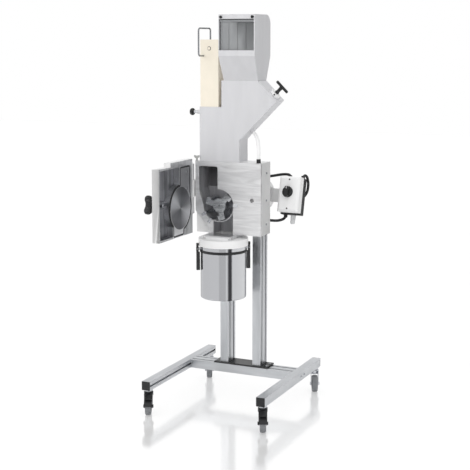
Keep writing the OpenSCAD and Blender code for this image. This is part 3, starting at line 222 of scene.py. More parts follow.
def paintedHighlightFace(name, dark, bright, flat, low):
    material, tree, shader = newFinish(name, flat, 0.8, 0.34)

    def vectors(kind, inputs, result="Vector"):
        return addNode(tree, "VectorMath", {"operation": kind}, inputs).outputs[result]
    part = addNode(tree, "SeparateXYZ", None, {0: objectPoint(tree)})
    side = maths(tree, "SUBTRACT", part.outputs[1], turned["y"])
    up = maths(tree, "SUBTRACT", part.outputs[2], turned["z"])
    flatWay = addNode(tree, "CombineXYZ", None, {1: side, 2: up}).outputs[0]
    radius = vectors("LENGTH", {0: flatWay}, "Value")
    way = vectors("NORMALIZE", {0: flatWay})
    # The fan and the streak noise paint highlights and dark streaks into the disc's colour
    lean = vectors("DOT_PRODUCT", {0: way, 1: turned["fan"]}, "Value")
    fan = maths(tree, "POWER", maths(tree, "ABSOLUTE", lean), turned["narrow"])
    spread = noiseAt(tree, vectors("SCALE", {0: way, "Scale": 2.2}), 1.0, 1.0, 0.4)
    glow = addNode(tree, "Math", {"operation": "MULTIPLY_ADD", "use_clamp": True}, {
        0: fan, 1: mapRange(tree, spread, 0.7, 1.1, 0.2, 0.8),
        2: mapRange(tree, spread, 0.0, 0.12, 0.2, 0.8)})
    disc = mixColour(tree, glow.outputs[0], dark, bright)
    # Below the axis the plate is painted lighter: painted reflection
    lower = mixColour(tree, maths(tree, "LESS_THAN", up), flat, low)
    within = maths(tree, "LESS_THAN", radius, turned["radius"])
    tree.links.new(mixColour(tree, within, lower, disc), shader.inputs["Base Color"])
    marks = maths(tree, "SINE", maths(tree, "MULTIPLY", radius, 2 * math.pi / turned["marks"]))
    addBump(tree, shader, marks, 0.08, 0.0001)
    return material


finishes = {
    "anodised_aluminium": linedMetal("anodisedAluminiumDrawn", "#dcdde0", 0.34, "Y", 0.0008, 0.3,
        0.05, 0.06),
    "black_plastic": mouldedPlastic("blackPolyamideMoulded", "#151618", 0.42),
    "black_paint": powderPaint("blackPowderPaint", "#1a1b1d", 0.4),
    "dark_steel": linedMetal("darkMachinedSteel", "#8a8c8f", 0.42, "Y", 0.0006, 0.02),
    "white_paint": powderPaint("whitePowderPaint", "#ebebeb"),
    "machined_aluminium": linedMetal("machinedAluminiumPlate", "#dfdfe0", 0.42, "X", 0.0016, 0.09,
        0.05, 0.06, 0.09, 1.6),
    "hardened_steel": linedMetal("groundToolSteel", "#cdcfd2", 0.24, "Y", 0.0005, 0.03, 0.08, 0.12),
    "stainless_sheet": linedMetal("glassBlastedStainless", "#dddddf", 0.72, "Z", 0.0009, 0.05,
        0.04, 0.04, 0.015),
    "polished_stainless": polishedMetal("polishedStainless", "#d3d4d6", 0.1),
    "zinc_steel": polishedMetal("brightZincPlate", "#c4c6ca", 0.24),
    "gray_rubber": mouldedPlastic("grayRubberTread", "#85878a", 0.6),
    "black_rubber": mouldedPlastic("blackCableSheath", "#17181a", 0.5),
    "cream_plastic": mouldedPlastic("creamPolyethylene", "#fbf3e2", 0.45, 0.0012, 0.06),
    "white_plastic": mouldedPlastic("whiteAbsMoulded", "#fbfbfb", 0.35),
    "light_gray_plastic": mouldedPlastic("lightGrayPolyamide", "#d9dadb", 0.4),
    "gray_plastic": mouldedPlastic("grayPolyamide", "#a9aaa8", 0.4),
    "curtain_gray": mouldedPlastic("grayCurtainStrip", "#97999b", 0.45),
}
# Bare machined faces inside the housing and the door
boredInside = linedMetal("boredHousingInside", "#a6a6aa", 0.4, "Z", 0.0011, 0.08, 0.08, 0.12, 0.14)
film = 0.1  # a dull oily film takes most of the metal's shine
boredInside.node_tree.nodes["Principled BSDF"].inputs["Metallic"].default_value = film
# The door pocket's colour is darker than the milled face: painted shade in the recess
paintedShadePocket = linedMetal("milledDoorPocketPaintedShade", "#8c8d91", 0.36, "Z", 0.0014, 0.12, 0.1, 0.16, 0.3)
milledFace = linedMetal("milledDoorFace", "#c6c7c9", 0.32, "Z", 0.0012, 0.06, 0.08, 0.1, 0.08)
# Liner colours: painted streak shade, painted highlight, the plain face, and the painted lighter reflection
# below the axis
highlightPaintedLiner = paintedHighlightFace("turnedDoorLinerPaintedHighlights", "#707175", "#cfd0d3", "#c4c5c9", "#f0f0f2")
for name, node in nodes.items():
    node.data.materials.clear()
    node.data.materials.append(finishes[slotOf[name]])
print("finishes ready:", len(finishes))

# Camera, fitted to the photograph through the stand, the housing and the head
view = {"spot": (1.9989, -4.3657, 1.5675), "aim": (0.0044, -0.0007, 0.8428), "lens": 86.69,
    "shift": -0.05, "sensor": 36, "near": 0.1, "far": 60}


def turnTo(spot, aim):
    return (Vector(aim) - Vector(spot)).to_track_quat("-Z", "Y").to_euler()


cameraData = bpy.data.cameras.new("studioCamera")
camera = newObject("studioCamera", cameraData)
cameraData.lens = view["lens"]
cameraData.sensor_width = view["sensor"]
cameraData.shift_y = view["shift"]
cameraData.clip_start, cameraData.clip_end = view["near"], view["far"]
camera.location = view["spot"]
camera.rotation_euler = turnTo(view["spot"], view["aim"])
bpy.context.scene.camera = camera
bpy.context.scene.view_settings.view_transform = "Standard"

# Soft light: a pale room, a broad lamp from the upper left, weak ones from right, front and above
studio = {"room": 0.88, "half": 14, "gloss": 0.12, "shine": 0.42, "glow": 0.68, "veil": 0.0004}
lamps = {  # spot, aim, size and power
    "keyLamp": ((-2.6, -3.4, 3.2), (0, 0, 0.9), (2.2, 2.6), 29),
    "fillLamp": ((3.6, -1.2, 2.2), (0, 0, 0.9), (1.6, 2.6), 2),
    "frontLamp": ((1.0, -4.6, 1.3), (0.1, 0, 0.9), (1.8, 1.8), 12),
    "topLamp": ((0.2, 0.6, 4.2), (0, 0, 0.6), (2.4, 2.4), 12),
}
world = bpy.data.worlds.new("paleRoom")
bpy.context.scene.world = world
world.use_nodes = True
tree = world.node_tree
tree.nodes.clear()
path = addNode(tree, "LightPath")
seen = maths(tree, "MAXIMUM", path.outputs["Is Camera Ray"], path.outputs["Is Glossy Ray"])
level = mapRange(tree, seen, studio["room"], 1.0)
backdrop = addNode(tree, "Background", None, {"Color": hexColour("#ffffff"), "Strength": level})
addNode(tree, "OutputWorld", None, {"Surface": backdrop.outputs[0]})
for name, (spot, aim, size, power) in lamps.items():
    data = bpy.data.lights.new(name, "AREA")
    data.shape = "RECTANGLE"
    data.size, data.size_y = size
    data.energy = power
    lamp = newObject(name, data)
    lamp.location = spot
    lamp.rotation_euler = turnTo(spot, aim)
    lamp.visible_glossy = name != "frontLamp"  # no band of that one on the metal


def planeMesh(name, corners):
    mesh = bpy.data.meshes.new(name)
    mesh.from_pydata(corners, [], [(0, 1, 2, 3)])
    return newObject(name, mesh)


def flatSquare(name, half, z):
    return planeMesh(name, [(-half, -half, z), (half, -half, z), (half, half, z), (-half, half, z)])


# A card that only the surfaces see: it darkens what faces right. It turns clear behind the veil.
cardForm = {"x": 2.6, "y": 4.6, "low": 0.02, "width": 5.0, "height": 4.0, "colour": "#929292"}
way = Vector((-cardForm["x"], -cardForm["y"], 0)).normalized()
side = Vector((-way.y, way.x, 0)) * cardForm["width"] / 2
foot, rise = Vector((cardForm["x"], cardForm["y"], cardForm["low"])), Vector((0, 0, cardForm["height"]))
card = planeMesh("grayCard", [foot - side, foot + side, foot + side + rise, foot - side + rise])
cloth, tree, shader = newFinish("grayCardCloth", cardForm["colour"], 0.0, 0.9)
tint(tree, shader, cardForm["colour"], noiseAt(tree, objectPoint(tree), 4.0), 0.04)
path = addNode(tree, "LightPath")
clear = addNode(tree, "BsdfTransparent")
veiled = maths(tree, "GREATER_THAN", path.outputs["Transparent Depth"], 0.5)
showSurface(tree, mixShader(tree, veiled, shader, clear))
card.data.materials.append(cloth)
card.visible_camera = False
card.visible_shadow = False

# The floor: white to the camera, with the shadow and a faint mirror image kept
floor = flatSquare("studioFloor", studio["half"], 0)
floorFinish, tree, shader = newFinish("glossyWhiteFloor", "#8a8a8a", 0.0, 0.12)
tree.nodes.remove(shader)
path = addNode(tree, "LightPath")
matt = addNode(tree, "BsdfDiffuse", None, {"Color": hexColour("#a8a8a8")})
bounce = addNode(tree, "BsdfDiffuse", None, {"Color": hexColour("#e6e6e6")})
lit = addNode(tree, "Emission", None, {
    "Color": hexColour("#ffffff"), "Strength": studio["glow"]})
both = addNode(tree, "AddShader", None, {0: matt.outputs[0], 1: lit.outputs[0]})
mirror = addNode(tree, "BsdfGlossy", None, {
    "Color": hexColour("#ffffff"), "Roughness": studio["gloss"]})
shine = mixShader(tree, studio["shine"], both, mirror)
showSurface(tree, mixShader(tree, path.outputs["Is Diffuse Ray"], shine, bounce))
floor.data.materials.append(floorFinish)

# A clear veil just above the floor: what the floor mirrors has passed it, so the card is unseen there
veil = flatSquare("floorVeil", studio["half"], studio["veil"])
veilFinish, tree, shader = newFinish("clearVeil", "#ffffff", 0.0, 0.5)
tree.nodes.remove(shader)
showSurface(tree, addNode(tree, "BsdfTransparent"))
veil.data.materials.append(veilFinish)
print("camera, lamps and floor ready")


# Mesh helpers. Sizes go in as millimetres in the shared frame; finished pieces hold metres.
def finishMesh(name, bm, finish, sharp=35):
    bmesh.ops.recalc_face_normals(bm, faces=bm.faces)
    mesh = bpy.data.meshes.new(name)
    bm.to_mesh(mesh)
    bm.free()
    for face in mesh.polygons:
        face.use_smooth = True
    mesh.set_sharp_from_angle(angle=math.radians(sharp))
    for look in finish if isinstance(finish, list) else [finish]:
        mesh.materials.append(finishes[look] if isinstance(look, str) else look)
    obj = newObject(name, mesh)
    even = obj.modifiers.new("even", "WEIGHTED_NORMAL")  # big flat faces keep their own normals
    even.keep_sharp = True
    bpy.context.view_layer.update()
    flat = bpy.data.meshes.new_from_object(obj.evaluated_get(bpy.context.evaluated_depsgraph_get()))
    obj.modifiers.remove(even)
    obj.data = flat
    bpy.data.meshes.remove(mesh)
    flat.name = name
    return obj


def place(obj, node=None, body=None):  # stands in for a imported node, or just rides along
    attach(obj, body or bodyOf[node])
    if node:
        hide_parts(node)
    return obj


def scaled(bm):
    bmesh.ops.scale(bm, vec=(mm, mm, mm), verts=bm.verts)
    return bm


def piece(name, bm, look, stands=True):  # a finished piece, named after the node it belongs to
    node = name.split(".")[0]
    return place(finishMesh(name, scaled(bm), look), node if stands else None, bodyOf[node])


def joined(pieces):  # several bmeshes as one
    whole = bmesh.new()
    for bm in pieces:
        part = bpy.data.meshes.new("part")
        bm.to_mesh(part)
        bm.free()
        whole.from_mesh(part)
        bpy.data.meshes.remove(part)
    return whole


def moved(bm, *steps):  # led through one transform after another
    for step in steps:
        bm.transform(step)
    return bm


def aimed(bm, spot, axis="Z"):  # from its own frame (Z up) to a place and direction
    way = {"X": (1, 0, 0), "-X": (-1, 0, 0), "Y": (0, 1, 0), "-Y": (0, -1, 0), "Z": (0, 0, 1),
        "-Z": (0, 0, -1)}[axis] if isinstance(axis, str) else axis
    spin = Vector((0, 0, 1)).rotation_difference(Vector(way).normalized()).to_matrix().to_4x4()
    return moved(bm, Matrix.Translation(Vector(spot)) @ spin)


def roundedEdges(bm, width, angle=30, segments=3):  # rounds every edge sharper than the angle
    limit = math.radians(angle)
    sharp = [e for e in bm.edges if len(e.link_faces) == 2 and e.calc_face_angle(0) > limit]
    if sharp:
        bmesh.ops.bevel(bm, geom=sharp, offset=width, offset_type="OFFSET", segments=segments,
            profile=0.5, affect="EDGES", clamp_overlap=True)
    return bm


def roundBox(low, high, width, segments=3):
    bm = bmesh.new()
    bmesh.ops.create_cube(bm, size=1)
    bmesh.ops.scale(bm, vec=[b - a for a, b in zip(low, high)], verts=bm.verts)
    bmesh.ops.translate(bm, vec=[(a + b) / 2 for a, b in zip(low, high)], verts=bm.verts)
    return roundedEdges(bm, width, 30, segments)


def mirrored(points):  # a profile's lower half with its upper one
    return points + [(r, -h, *more) for r, h, *more in reversed(points)]


quarter = Matrix.Rotation(math.radians(90), 4, "X")


# Rounds the corners of a profile given as (radius, height, rounding)
def softProfile(points, steps, closed):
    out = []
    count = len(points)
    for i, point in enumerate(points):
        here = Vector(point[:2])
        rounding = point[2] if len(point) > 2 else 0
        if not rounding or (not closed and i in (0, count - 1)):
            out.append(here)
            continue
        before, after = Vector(points[i - 1][:2]), Vector(points[(i + 1) % count][:2])
        a, b = before - here, after - here
        reach = min(rounding, a.length * 0.49, b.length * 0.49)  # neighbours' roundings never meet
        start, end = here + a.normalized() * reach, here + b.normalized() * reach
        for k in range(steps + 1):
            t = k / steps
            out.append(start * (1 - t) ** 2 + here * 2 * t * (1 - t) + end * t * t)
    return out


def ringSection(radius, sides=16):
    return [(radius * math.cos(2 * math.pi * i / sides), radius * math.sin(2 * math.pi * i / sides))
        for i in range(sides)]


def addBand(bm, low, high):  # faces from one ring to the next; a ring of one point makes a fan
    count = max(len(low), len(high))
    for i in range(count):
        j = (i + 1) % count
        if len(low) == 1:
            bm.faces.new((low[0], high[j], high[i]))
        elif len(high) == 1:
            bm.faces.new((low[i], low[j], high[0]))
        else:
            bm.faces.new((low[i], low[j], high[j], high[i]))


# Rings of points joined, one after another. The last is led back to the first, or both ends are capped.
def loft(rings, closed=False, capped=True):
    bm = bmesh.new()
    made = [[bm.verts.new(p) for p in ring] for ring in rings]
    if capped and not closed:
        bm.faces.new(made[0][::-1])
        bm.faces.new(made[-1])
    for low, high in zip(made, made[1:] + made[:1] if closed else made[1:]):
        addBand(bm, low, high)
    return bm


def lathe(points, sides=64, steps=4, closed=False):  # a turned body round Z, from its profile
    rings = []
    for r, h in softProfile(points, steps, closed):
        circle = [(0, 0)] if r < 1e-6 else ringSection(r, sides)
        rings.append([(x, y, h) for x, y in circle])
    return loft(rings, closed, False)


def prism(outline, low, high, width=0.0, segments=3, angle=30):  # an outline raised along Z
    bm = loft([[(x, y, z) for x, y in outline] for z in (low, high)])
    return roundedEdges(bm, width, angle, segments) if width else bm


def smoothPath(points, each=8):  # a soft line through the points
    pts = [Vector(p) for p in points]
    pts = [pts[0] * 2 - pts[1]] + pts + [pts[-1] * 2 - pts[-2]]
    out = []
    for a, b, c, d in zip(pts, pts[1:], pts[2:], pts[3:]):
        for k in range(each):
            t = k / each
            out.append(0.5 * ((2 * b) + (c - a) * t + (2 * a - 5 * b + 4 * c - d) * t * t
                + (3 * b - a - 3 * c + d) * t ** 3))
    return out + [pts[-2]]


def sweep(path, section, closed=False):  # a section, as (side, up) pairs, led along a path
    pts = [Vector(p) for p in path]
    count = len(pts)
    rings, side = [], None
    for i, p in enumerate(pts):
        if closed:
            way = (pts[(i + 1) % count] - pts[i - 1]).normalized()
        else:
            way = (pts[min(i + 1, count - 1)] - pts[max(i - 1, 0)]).normalized()
        if side is None:
            side = way.orthogonal().normalized()
        side = (side - way * side.dot(way)).normalized()
        up = way.cross(side)
        rings.append([p + side * s + up * u for s, u in section])
    return loft(rings, closed)


def packedCopy(name):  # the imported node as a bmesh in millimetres: doubles merged, flat faces whole
    bm = bmesh.new()
    bm.from_mesh(nodes[name].data)
    bmesh.ops.scale(bm, vec=(1 / mm, 1 / mm, 1 / mm), verts=bm.verts)
    bmesh.ops.remove_doubles(bm, verts=bm.verts, dist=0.004)
    bmesh.ops.dissolve_limit(bm, angle_limit=math.radians(0.6), verts=bm.verts, edges=bm.edges)
    return bm


# A packed form with soft edges. Where it carries several finishes, choose picks one for each face.
def roundedNode(name, width, segments=2, angle=32, finish=None, choose=None):
    bm = roundedEdges(packedCopy(name), width, angle, segments)
    bmesh.ops.triangulate(bm, faces=[f for f in bm.faces if len(f.verts) > 4])
    if choose:
        bm.normal_update()
        for face in bm.faces:
            face.material_index = choose(face.calc_center_median(), face.normal)
    return place(finishMesh(name + ".soft", scaled(bm), finish or slotOf[name], 14), name)


# Packed forms that only get soft edges. The drawn profiles and the rotor have finishes of their own.
drawn = {way: linedMetal("satinAnodisedProfile" + way, "#c2c4c7", 0.38, way, 0.0008, 0.4, 0.05, 0.06, 0.06)
    for way in "XYZ"}
ownFinish = {
    "rail_left": drawn["Y"], "rail_right": drawn["Y"], "crossbar": drawn["X"],
    "column_left": drawn["Z"], "column_right": drawn["Z"],
    # The rotor's strong broad bands are partly its ground finish, partly painted sheen
    "rotor": linedMetal("groundRotorSteelPaintedSheen", "#d0d2d5", 0.26, "X", 0.0012, 0.05, 0.06, 0.1, 0.32, 0.8),
}
softEdges = {  # width of the rounding, and the nodes that get it
    3.5: "switch_front", 2.0: "switch_rear", 1.6: "rail_end_caps tappet_block", 1.4: "brake_fl brake_fr",
    1.2: "rail_left rail_right crossbar column_left column_right base_plate clamp_front clamp_rear",
    1.0: "motor_plate hinge_bracket bearing_unit", 0.9: "front_plate", 0.8: "outlet_guide door_bolt",
    0.7: "switch_bracket rotor", 0.6: "caster_stems cutting_bars drive_shaft",
    0.5: "hopper_body hopper_head", 0.4: "splash_curtain rotor_blades",
}
for width, names in softEdges.items():
    for name in names.split():
        roundedNode(name, width, 3 if width > 1.2 else 2, finish=ownFinish.get(name))
print("stand and other soft edges done")

# Casters: tyre, hub with a sunk web, fork
caster = {"x": 263.5, "y": 297, "yaw": 24.6, "trail": 25, "axle": 37.5, "edge": 0.8}
yaw = math.radians(caster["yaw"] - 90)
out = Vector((math.cos(yaw), math.sin(yaw), 0))
across = Vector((-math.sin(yaw), math.cos(yaw), 0))
hubFinish = mouldedPlastic("darkGrayNylonHub", "#3b3d40", 0.38)
for tag, sx, sy in (("fl", -1, -1), ("fr", 1, -1), ("bl", -1, 1), ("br", 1, 1)):
    swivel = Vector((sx * caster["x"], sy * caster["y"], 0))
    axle = swivel + out * caster["trail"] + Vector((0, 0, caster["axle"]))
    tread = mirrored([(26, -10.5, 1), (30.5, -12.7, 2), (35.2, -12.4, 3), (37.5, -7, 3.5)])
    piece(f"wheel_{tag}.tyre", aimed(lathe(tread, 80, 4, True), axle, across), "gray_rubber")
    hub = mirrored([(5.1, -12.9, 0.6), (10, -12.9, 1), (10.6, -9, 1.5), (12, -5.5, 2), (22, -5.5, 2),
        (24, -9.4, 1.5), (26.4, -10.4, 0.8)])
    piece(f"wheel_{tag}.hub", aimed(lathe(hub, 64, 4, True), axle, across), hubFinish)
    roundedNode("fork_" + tag, caster["edge"], 2, 40)
print("casters done")


def arc(centre, radius, first, last, steps=8):  # points on an arc in a plane, as pairs
    return [(centre[0] + radius * math.cos(math.radians(first + (last - first) * k / steps)),
        centre[1] + radius * math.sin(math.radians(first + (last - first) * k / steps)))
        for k in range(steps + 1)]


# Bow handle: one bent rod, chromed
bow = {"x": -134.5, "out": -64.5, "back": 50, "low": 1504, "high": 1619, "bend": 12, "radius": 3.5,
    "start": -12, "end": 1566}
b = bow["bend"]
line = [(bow["start"], bow["low"])] + arc((bow["out"] + b, bow["low"] + b), b, 270, 180)
line += arc((bow["out"] + b, bow["high"] - b), b, 180, 90)
line += arc((bow["back"] - b, bow["high"] - b), b, 90, 0) + [(bow["back"], bow["end"])]
rod = sweep([(bow["x"], y, z) for y, z in line], ringSection(bow["radius"], 20))
piece("tappet_bow.rod", rod, polishedMetal("chromePlatedRod", "#8d8f92", 0.2, 0.01))

# Vessel: spun steel pot with a soft black ring, moulded lid, steel catches
vessel = {"x": -34, "y": -37, "radius": 99, "lugs": (35, 215), "lugHeight": 688, "pin": 112}
r = vessel["radius"]
pot = lathe([(0, 474.3), (60, 474.3), (64, 476.5, 3), (86, 476.5, 3), (90, 474, 3), (95.5, 474, 3),
    (r, 478.5, 4), (r, 700.4, 0.4), (98.6, 701, 0.3), (97.5, 700.6, 0.3), (97.5, 480, 4), (92, 477, 3),
    (0, 477)], 128)
parts = [aimed(pot, (vessel["x"], vessel["y"], 0))]
for turn in vessel["lugs"]:
    lug = roundBox((98.3, -4.1, -6), (116, 4.1, 6), 1.2)
    pin = aimed(lathe(mirrored([(0, -8), (2.3, -8, 0.3), (2.5, -7.6, 0.2)]), 24), (vessel["pin"], 0, 0), "Y")
    for bm in (lug, pin):
        parts.append(moved(bm, Matrix.Rotation(math.radians(turn), 4, "Z"),
            Matrix.Translation((vessel["x"], vessel["y"], vessel["lugHeight"]))))
# Painted reflections: each angle's colour is the room's reflection painted into the pot's base colour
bands = [  # degrees round the pot's axis, from -X over -Y, each with its shade
    (-180, "#bcbdc0"), (-150, "#c2c3c6"), (-138, "#8e8f92"), (-133, "#b4b5b8"), (-77, "#b6b7ba"),
    (-74, "#a3a4a7"), (-60, "#a6a7aa"), (-57, "#c3c4c7"), (-55, "#bcbdc0"), (-52.5, "#4c4c4f"),
    (-49, "#353538"), (-45, "#454548"), (-42, "#c2c3c6"), (-5, "#cbccce"), (12, "#9c9da0"),
    (60, "#bbbcbf"), (98, "#b4b5b8"), (101, "#505053"), (109, "#505053"), (112, "#bcbdc0"),
]
potSpot = (vessel["x"] * mm, vessel["y"] * mm)
# a pot whose base colour carries the painted reflection bands
reflectionPaintedPot = reflectionPaintedMetal("spunStainlessPaintedReflections", "#c6c7ca", 0.1, potSpot, bands)
piece("vessel_pot.body", joined(parts), reflectionPaintedPot)
ring = lathe([(98.6, 673.2, 1), (100.8, 673.2, 2), (102, 679, 3), (100.8, 684.8, 2), (98.6, 684.8, 1)],
    128, 4, True)
piece("vessel_pot.ring", aimed(ring, (vessel["x"], vessel["y"], 0)), "black_rubber")

# Star knob: three soft lobes on a short steel neck
star = {"y": -320, "z": 898.5, "neck": -212, "hub": 19, "lobe": 11, "reach": 33, "blend": 9, "turn": 22,
    "radius": 44}


def starRadius(angle):  # where the blended hub and lobes end, looking along the angle
    def depth(r):
        y, z = r * math.sin(angle), r * math.cos(angle)
        fields = [math.hypot(y, z) - star["hub"]]
        for k in range(3):
            a = math.radians(star["turn"] + 120 * k)
            along = max(0, min(star["reach"], y * -math.sin(a) + z * math.cos(a)))
            fields.append(math.hypot(y + math.sin(a) * along, z - math.cos(a) * along) - star["lobe"])
        total = sum(math.exp(-f / star["blend"] * 3) for f in fields)
        return -math.log(total) * star["blend"] / 3
    low, high = 0.0, 60.0
    for _ in range(30):
        middle = (low + high) / 2
        low, high = (middle, high) if depth(middle) < 0 else (low, middle)
    return low


outline = [(2 * math.pi * k / 120, starRadius(2 * math.pi * k / 120)) for k in range(120)]
grow = star["radius"] / max(r for _, r in outline)
rings = []
for inset, x in ((17, -249.6), (12, -249.9), (8, -249), (4.6, -247), (2, -243.8), (0.6, -240), (0, -236),
        (0, -231), (0.8, -227), (2.6, -223.2), (5.4, -220), (8, -218.4), (11, -218)):
    rings.append([(x, star["y"] + (r * grow - inset) * math.sin(a),
        star["z"] + (r * grow - inset) * math.cos(a)) for a, r in outline])
piece("star_knob.grip", loft(rings), mouldedPlastic("blackPhenolicKnob", "#131416", 0.3))
neck = lathe([(0, 0), (13, 0, 0.6), (13, 4.5, 0.8), (10.5, 6.2, 0.5), (7.2, 6.2, 0.4), (0, 6.2)], 48)
piece("star_knob.neck", aimed(neck, (star["neck"], star["y"], star["z"]), "-X"), "zinc_steel")
print("bow, vessel and star knob done")

# Index plunger: black knob, steel neck and pin
plunger = {"y": 25, "z": 1263.5, "neck": -183.3, "knob": -199.3}
pin = lathe([(0, -43.8), (3.4, -43.8), (4, -43, 0.3), (4, 0), (7, 0.1, 0.6), (7, 6, 0.6), (5.6, 8, 1.5),
    (5.6, 14, 1.5), (7.4, 16.2, 0.5), (0, 16.4)], 32)
piece("index_plunger.pin", aimed(pin, (plunger["neck"], plunger["y"], plunger["z"]), "-X"), "zinc_steel")
grip = lathe([(0, 0.1), (9, 0.1, 1), (11, 1.6, 2), (15.5, 6, 3.5), (15.5, 13.5, 3.5), (12.5, 18.4, 4),
    (6, 20, 5), (0, 20)], 64, 6)
aimed(grip, (plunger["knob"], plunger["y"], plunger["z"]), "-X")
piece("index_plunger.knob", grip, "black_plastic")

# Pusher: bright rod, black T bar, plate inside the duct
pusher = {"end": (196.88, 24, 1315.05), "tilt": -45, "up": 35, "in": -150, "bar": 52}
tilt = Matrix.Translation(pusher["end"]) @ Matrix.Rotation(math.radians(pusher["tilt"]), 4, "Y")
rod = lathe([(0, 0), (4.4, 0, 0.4), (5, 1, 0.4), (5, 190), (0, 190)], 32)
piece("pusher.rod", moved(aimed(rod, (pusher["in"], 0, pusher["up"]), "X"), tilt), "zinc_steel")
bar = lathe(mirrored([(0, -33.5), (4.2, -33.5, 2), (6, -30.5, 2.5)]), 40, 5)
aimed(bar, (pusher["bar"], 0, pusher["up"]))
collar = lathe([(5.1, -35.6, 0.4), (8.6, -35.6, 0.8), (9, -33, 1.5), (7.2, -26, 4), (7.2, -12, 5), (9, -6, 2),
    (8, -1, 1), (5.1, -1, 0.4)], 32, 4, True)
aimed(collar, (pusher["bar"], 0, pusher["up"]), "X")
piece("pusher.handle", moved(joined([bar, collar]), tilt), "black_plastic")
plate = roundBox((pusher["in"] - 5, -37.5, 2.5), (pusher["in"], 41.4, 110), 1.2)
piece("pusher.plate", moved(plate, tilt), "stainless_sheet")

# Rotary switch: round foot, grip ridge with a white pointer, on the leaning switch box
switch = {"spot": (204.5, 110, 917), "tilt": 14.5, "dial": (-3, 0, 8.6), "ridge": (9.6, 23.2, 5, 22),
    "narrow": (0.72, 0.97), "soft": 2.6}
lean = Matrix.Translation(switch["spot"]) @ Matrix.Rotation(math.radians(-switch["tilt"]), 4, "X")
onDial = lean @ Matrix.Translation(switch["dial"])
foot = lathe([(0, 0.3), (23.6, 0.3, 0.5), (24, 1.2, 0.5), (24, 4.2, 1), (22.6, 5.6, 1), (19.5, 6.4, 1),
    (18, 9, 2), (16.5, 9.6, 1), (0, 9.6)], 72)
halfX, halfY, low, high = switch["ridge"]
ridge = prism([(-halfX, -halfY), (halfX, -halfY), (halfX, halfY), (-halfX, halfY)], low, high)
for vert in ridge.verts:  # the ridge narrows towards its top
    if vert.co.z > low:
        vert.co.x *= switch["narrow"][0]
        vert.co.y *= switch["narrow"][1]
roundedEdges(ridge, switch["soft"], 30, 4)
stem = lathe([(0, -20), (5.9, -20, 0.4), (5.9, 0.4), (0, 0.4)], 32)
knob = [aimed(foot, (0, 0, 0), "-Y"), moved(ridge, quarter), aimed(stem, (0, 0, 0), "-Y")]
piece("switch_dial.knob", moved(joined(knob), onDial), "black_plastic")
dot = roundBox((-1.3, -22.25, 12), (1.3, -21.6, 20.5), 0.2, 2)
piece("switch_dial.pointer", moved(dot, onDial), "white_plastic")

# Mains gland: hexagon nut and domed cap
gland = {"spot": (7.5, 67.5, -122.5), "hexagon": 11.9}
cap = lathe([(0, 36), (5.5, 36), (5.5, 0, 0.8), (8.6, 0, 2), (10, 5, 2), (10, 19.4), (0, 19.4)], 48)
nut = prism(ringSection(gland["hexagon"], 6), 20, 32, 0.8)
collar = lathe([(0, 31.6), (11.4, 31.6, 0.4), (11.4, 37.9, 0.4), (0, 37.9)], 48)
whole = moved(joined([cap, nut, collar]), lean @ Matrix.Translation(gland["spot"]))
piece("mains_gland.body", whole, "light_gray_plastic")

# Hose and leads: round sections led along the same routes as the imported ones
def wallPoint(y, z):  # from the leaning box's own frame
    t = math.radians(switch["tilt"])
    return (switch["spot"][1] + y * math.cos(t) + z * math.sin(t),
        switch["spot"][2] - y * math.sin(t) + z * math.cos(t))


cable = {"lead": 6, "hose": 7.5, "hexagon": 10, "nut": (117, -8, 1057), "neck": (73, 19, 1191.17)}
top, low, back = wallPoint(67.5, 77), wallPoint(67.5, -84.5), wallPoint(85, -8)
routes = [  # motor lead, door safety lead, looped lead
    [(-20, 220, 962), (-8, 220, 962), (30, 222, 968), (85, 216, 977), (140, top[0] + 7, 988),
        (171, top[0] + 3, 989), (181, top[0] + 2, 980), (181, *top)],
    [(176, *low), (176, 158, 814), (168, 148, 800), (150, 124, 795), (125, 99, 798), (115, 85, 800),
        (115, 72, 800)],
    [(240, *top), (240, top[0] + 3, 980), (244, top[0] + 15, 987), (249, top[0] + 28, 975),
        (252, top[0] + 32, 945), (248, top[0] + 27, 912), (238, top[0] + 10, 892), (235, *back)],
]
cords = [sweep(smoothPath(points, 10), ringSection(cable["lead"])) for points in routes]
for end, way in (((181, top[0], top[1] + 0.4), "Z"), ((240, top[0], top[1] + 0.4), "Z"),
        ((176, low[0], low[1] - 0.4), "-Z"), ((-19.8, 220, 962), "X"), ((115, 72.2, 800), "Y")):
    sleeve = lathe([(5.6, 0), (8.4, 0, 0.6), (8, 9, 1), (7, 12, 1), (5.6, 12)], 32, 3, True)
    cords.append(aimed(sleeve, end, way))
piece("leads.sheaths", joined(cords), "black_rubber")
s = math.sqrt(0.5)
x, y, z = cable["neck"]
hosePath = [(x + 12 * s, y, z - 12 * s), (91, 19, 1173), (104, 12, 1150), (113, 1, 1120), (117, -7, 1098),
    (117, -8, 1086), (117, -8, 1074)]
piece("air_hose.tube", sweep(smoothPath(hosePath, 12), ringSection(cable["hose"], 28)), "white_plastic")
nut = prism(ringSection(cable["hexagon"], 6), 0, 11, 0.7)
ringTop = lathe([(7.6, 10.6, 0.4), (9, 10.6, 0.6), (9, 15.5, 1), (8.2, 17, 0.6), (7.6, 17)], 40, 3, True)
piece("hose_fittings.nut", aimed(joined([nut, ringTop]), cable["nut"]), "black_plastic")
neck = lathe([(0, -1), (9.5, -1), (9.5, 10.5, 1.2), (8, 12, 0.5), (0, 12)], 40)
piece("hose_fittings.neck", aimed(neck, cable["neck"], (s, 0, -s)), "stainless_sheet")
print("small parts, leads and hose done")

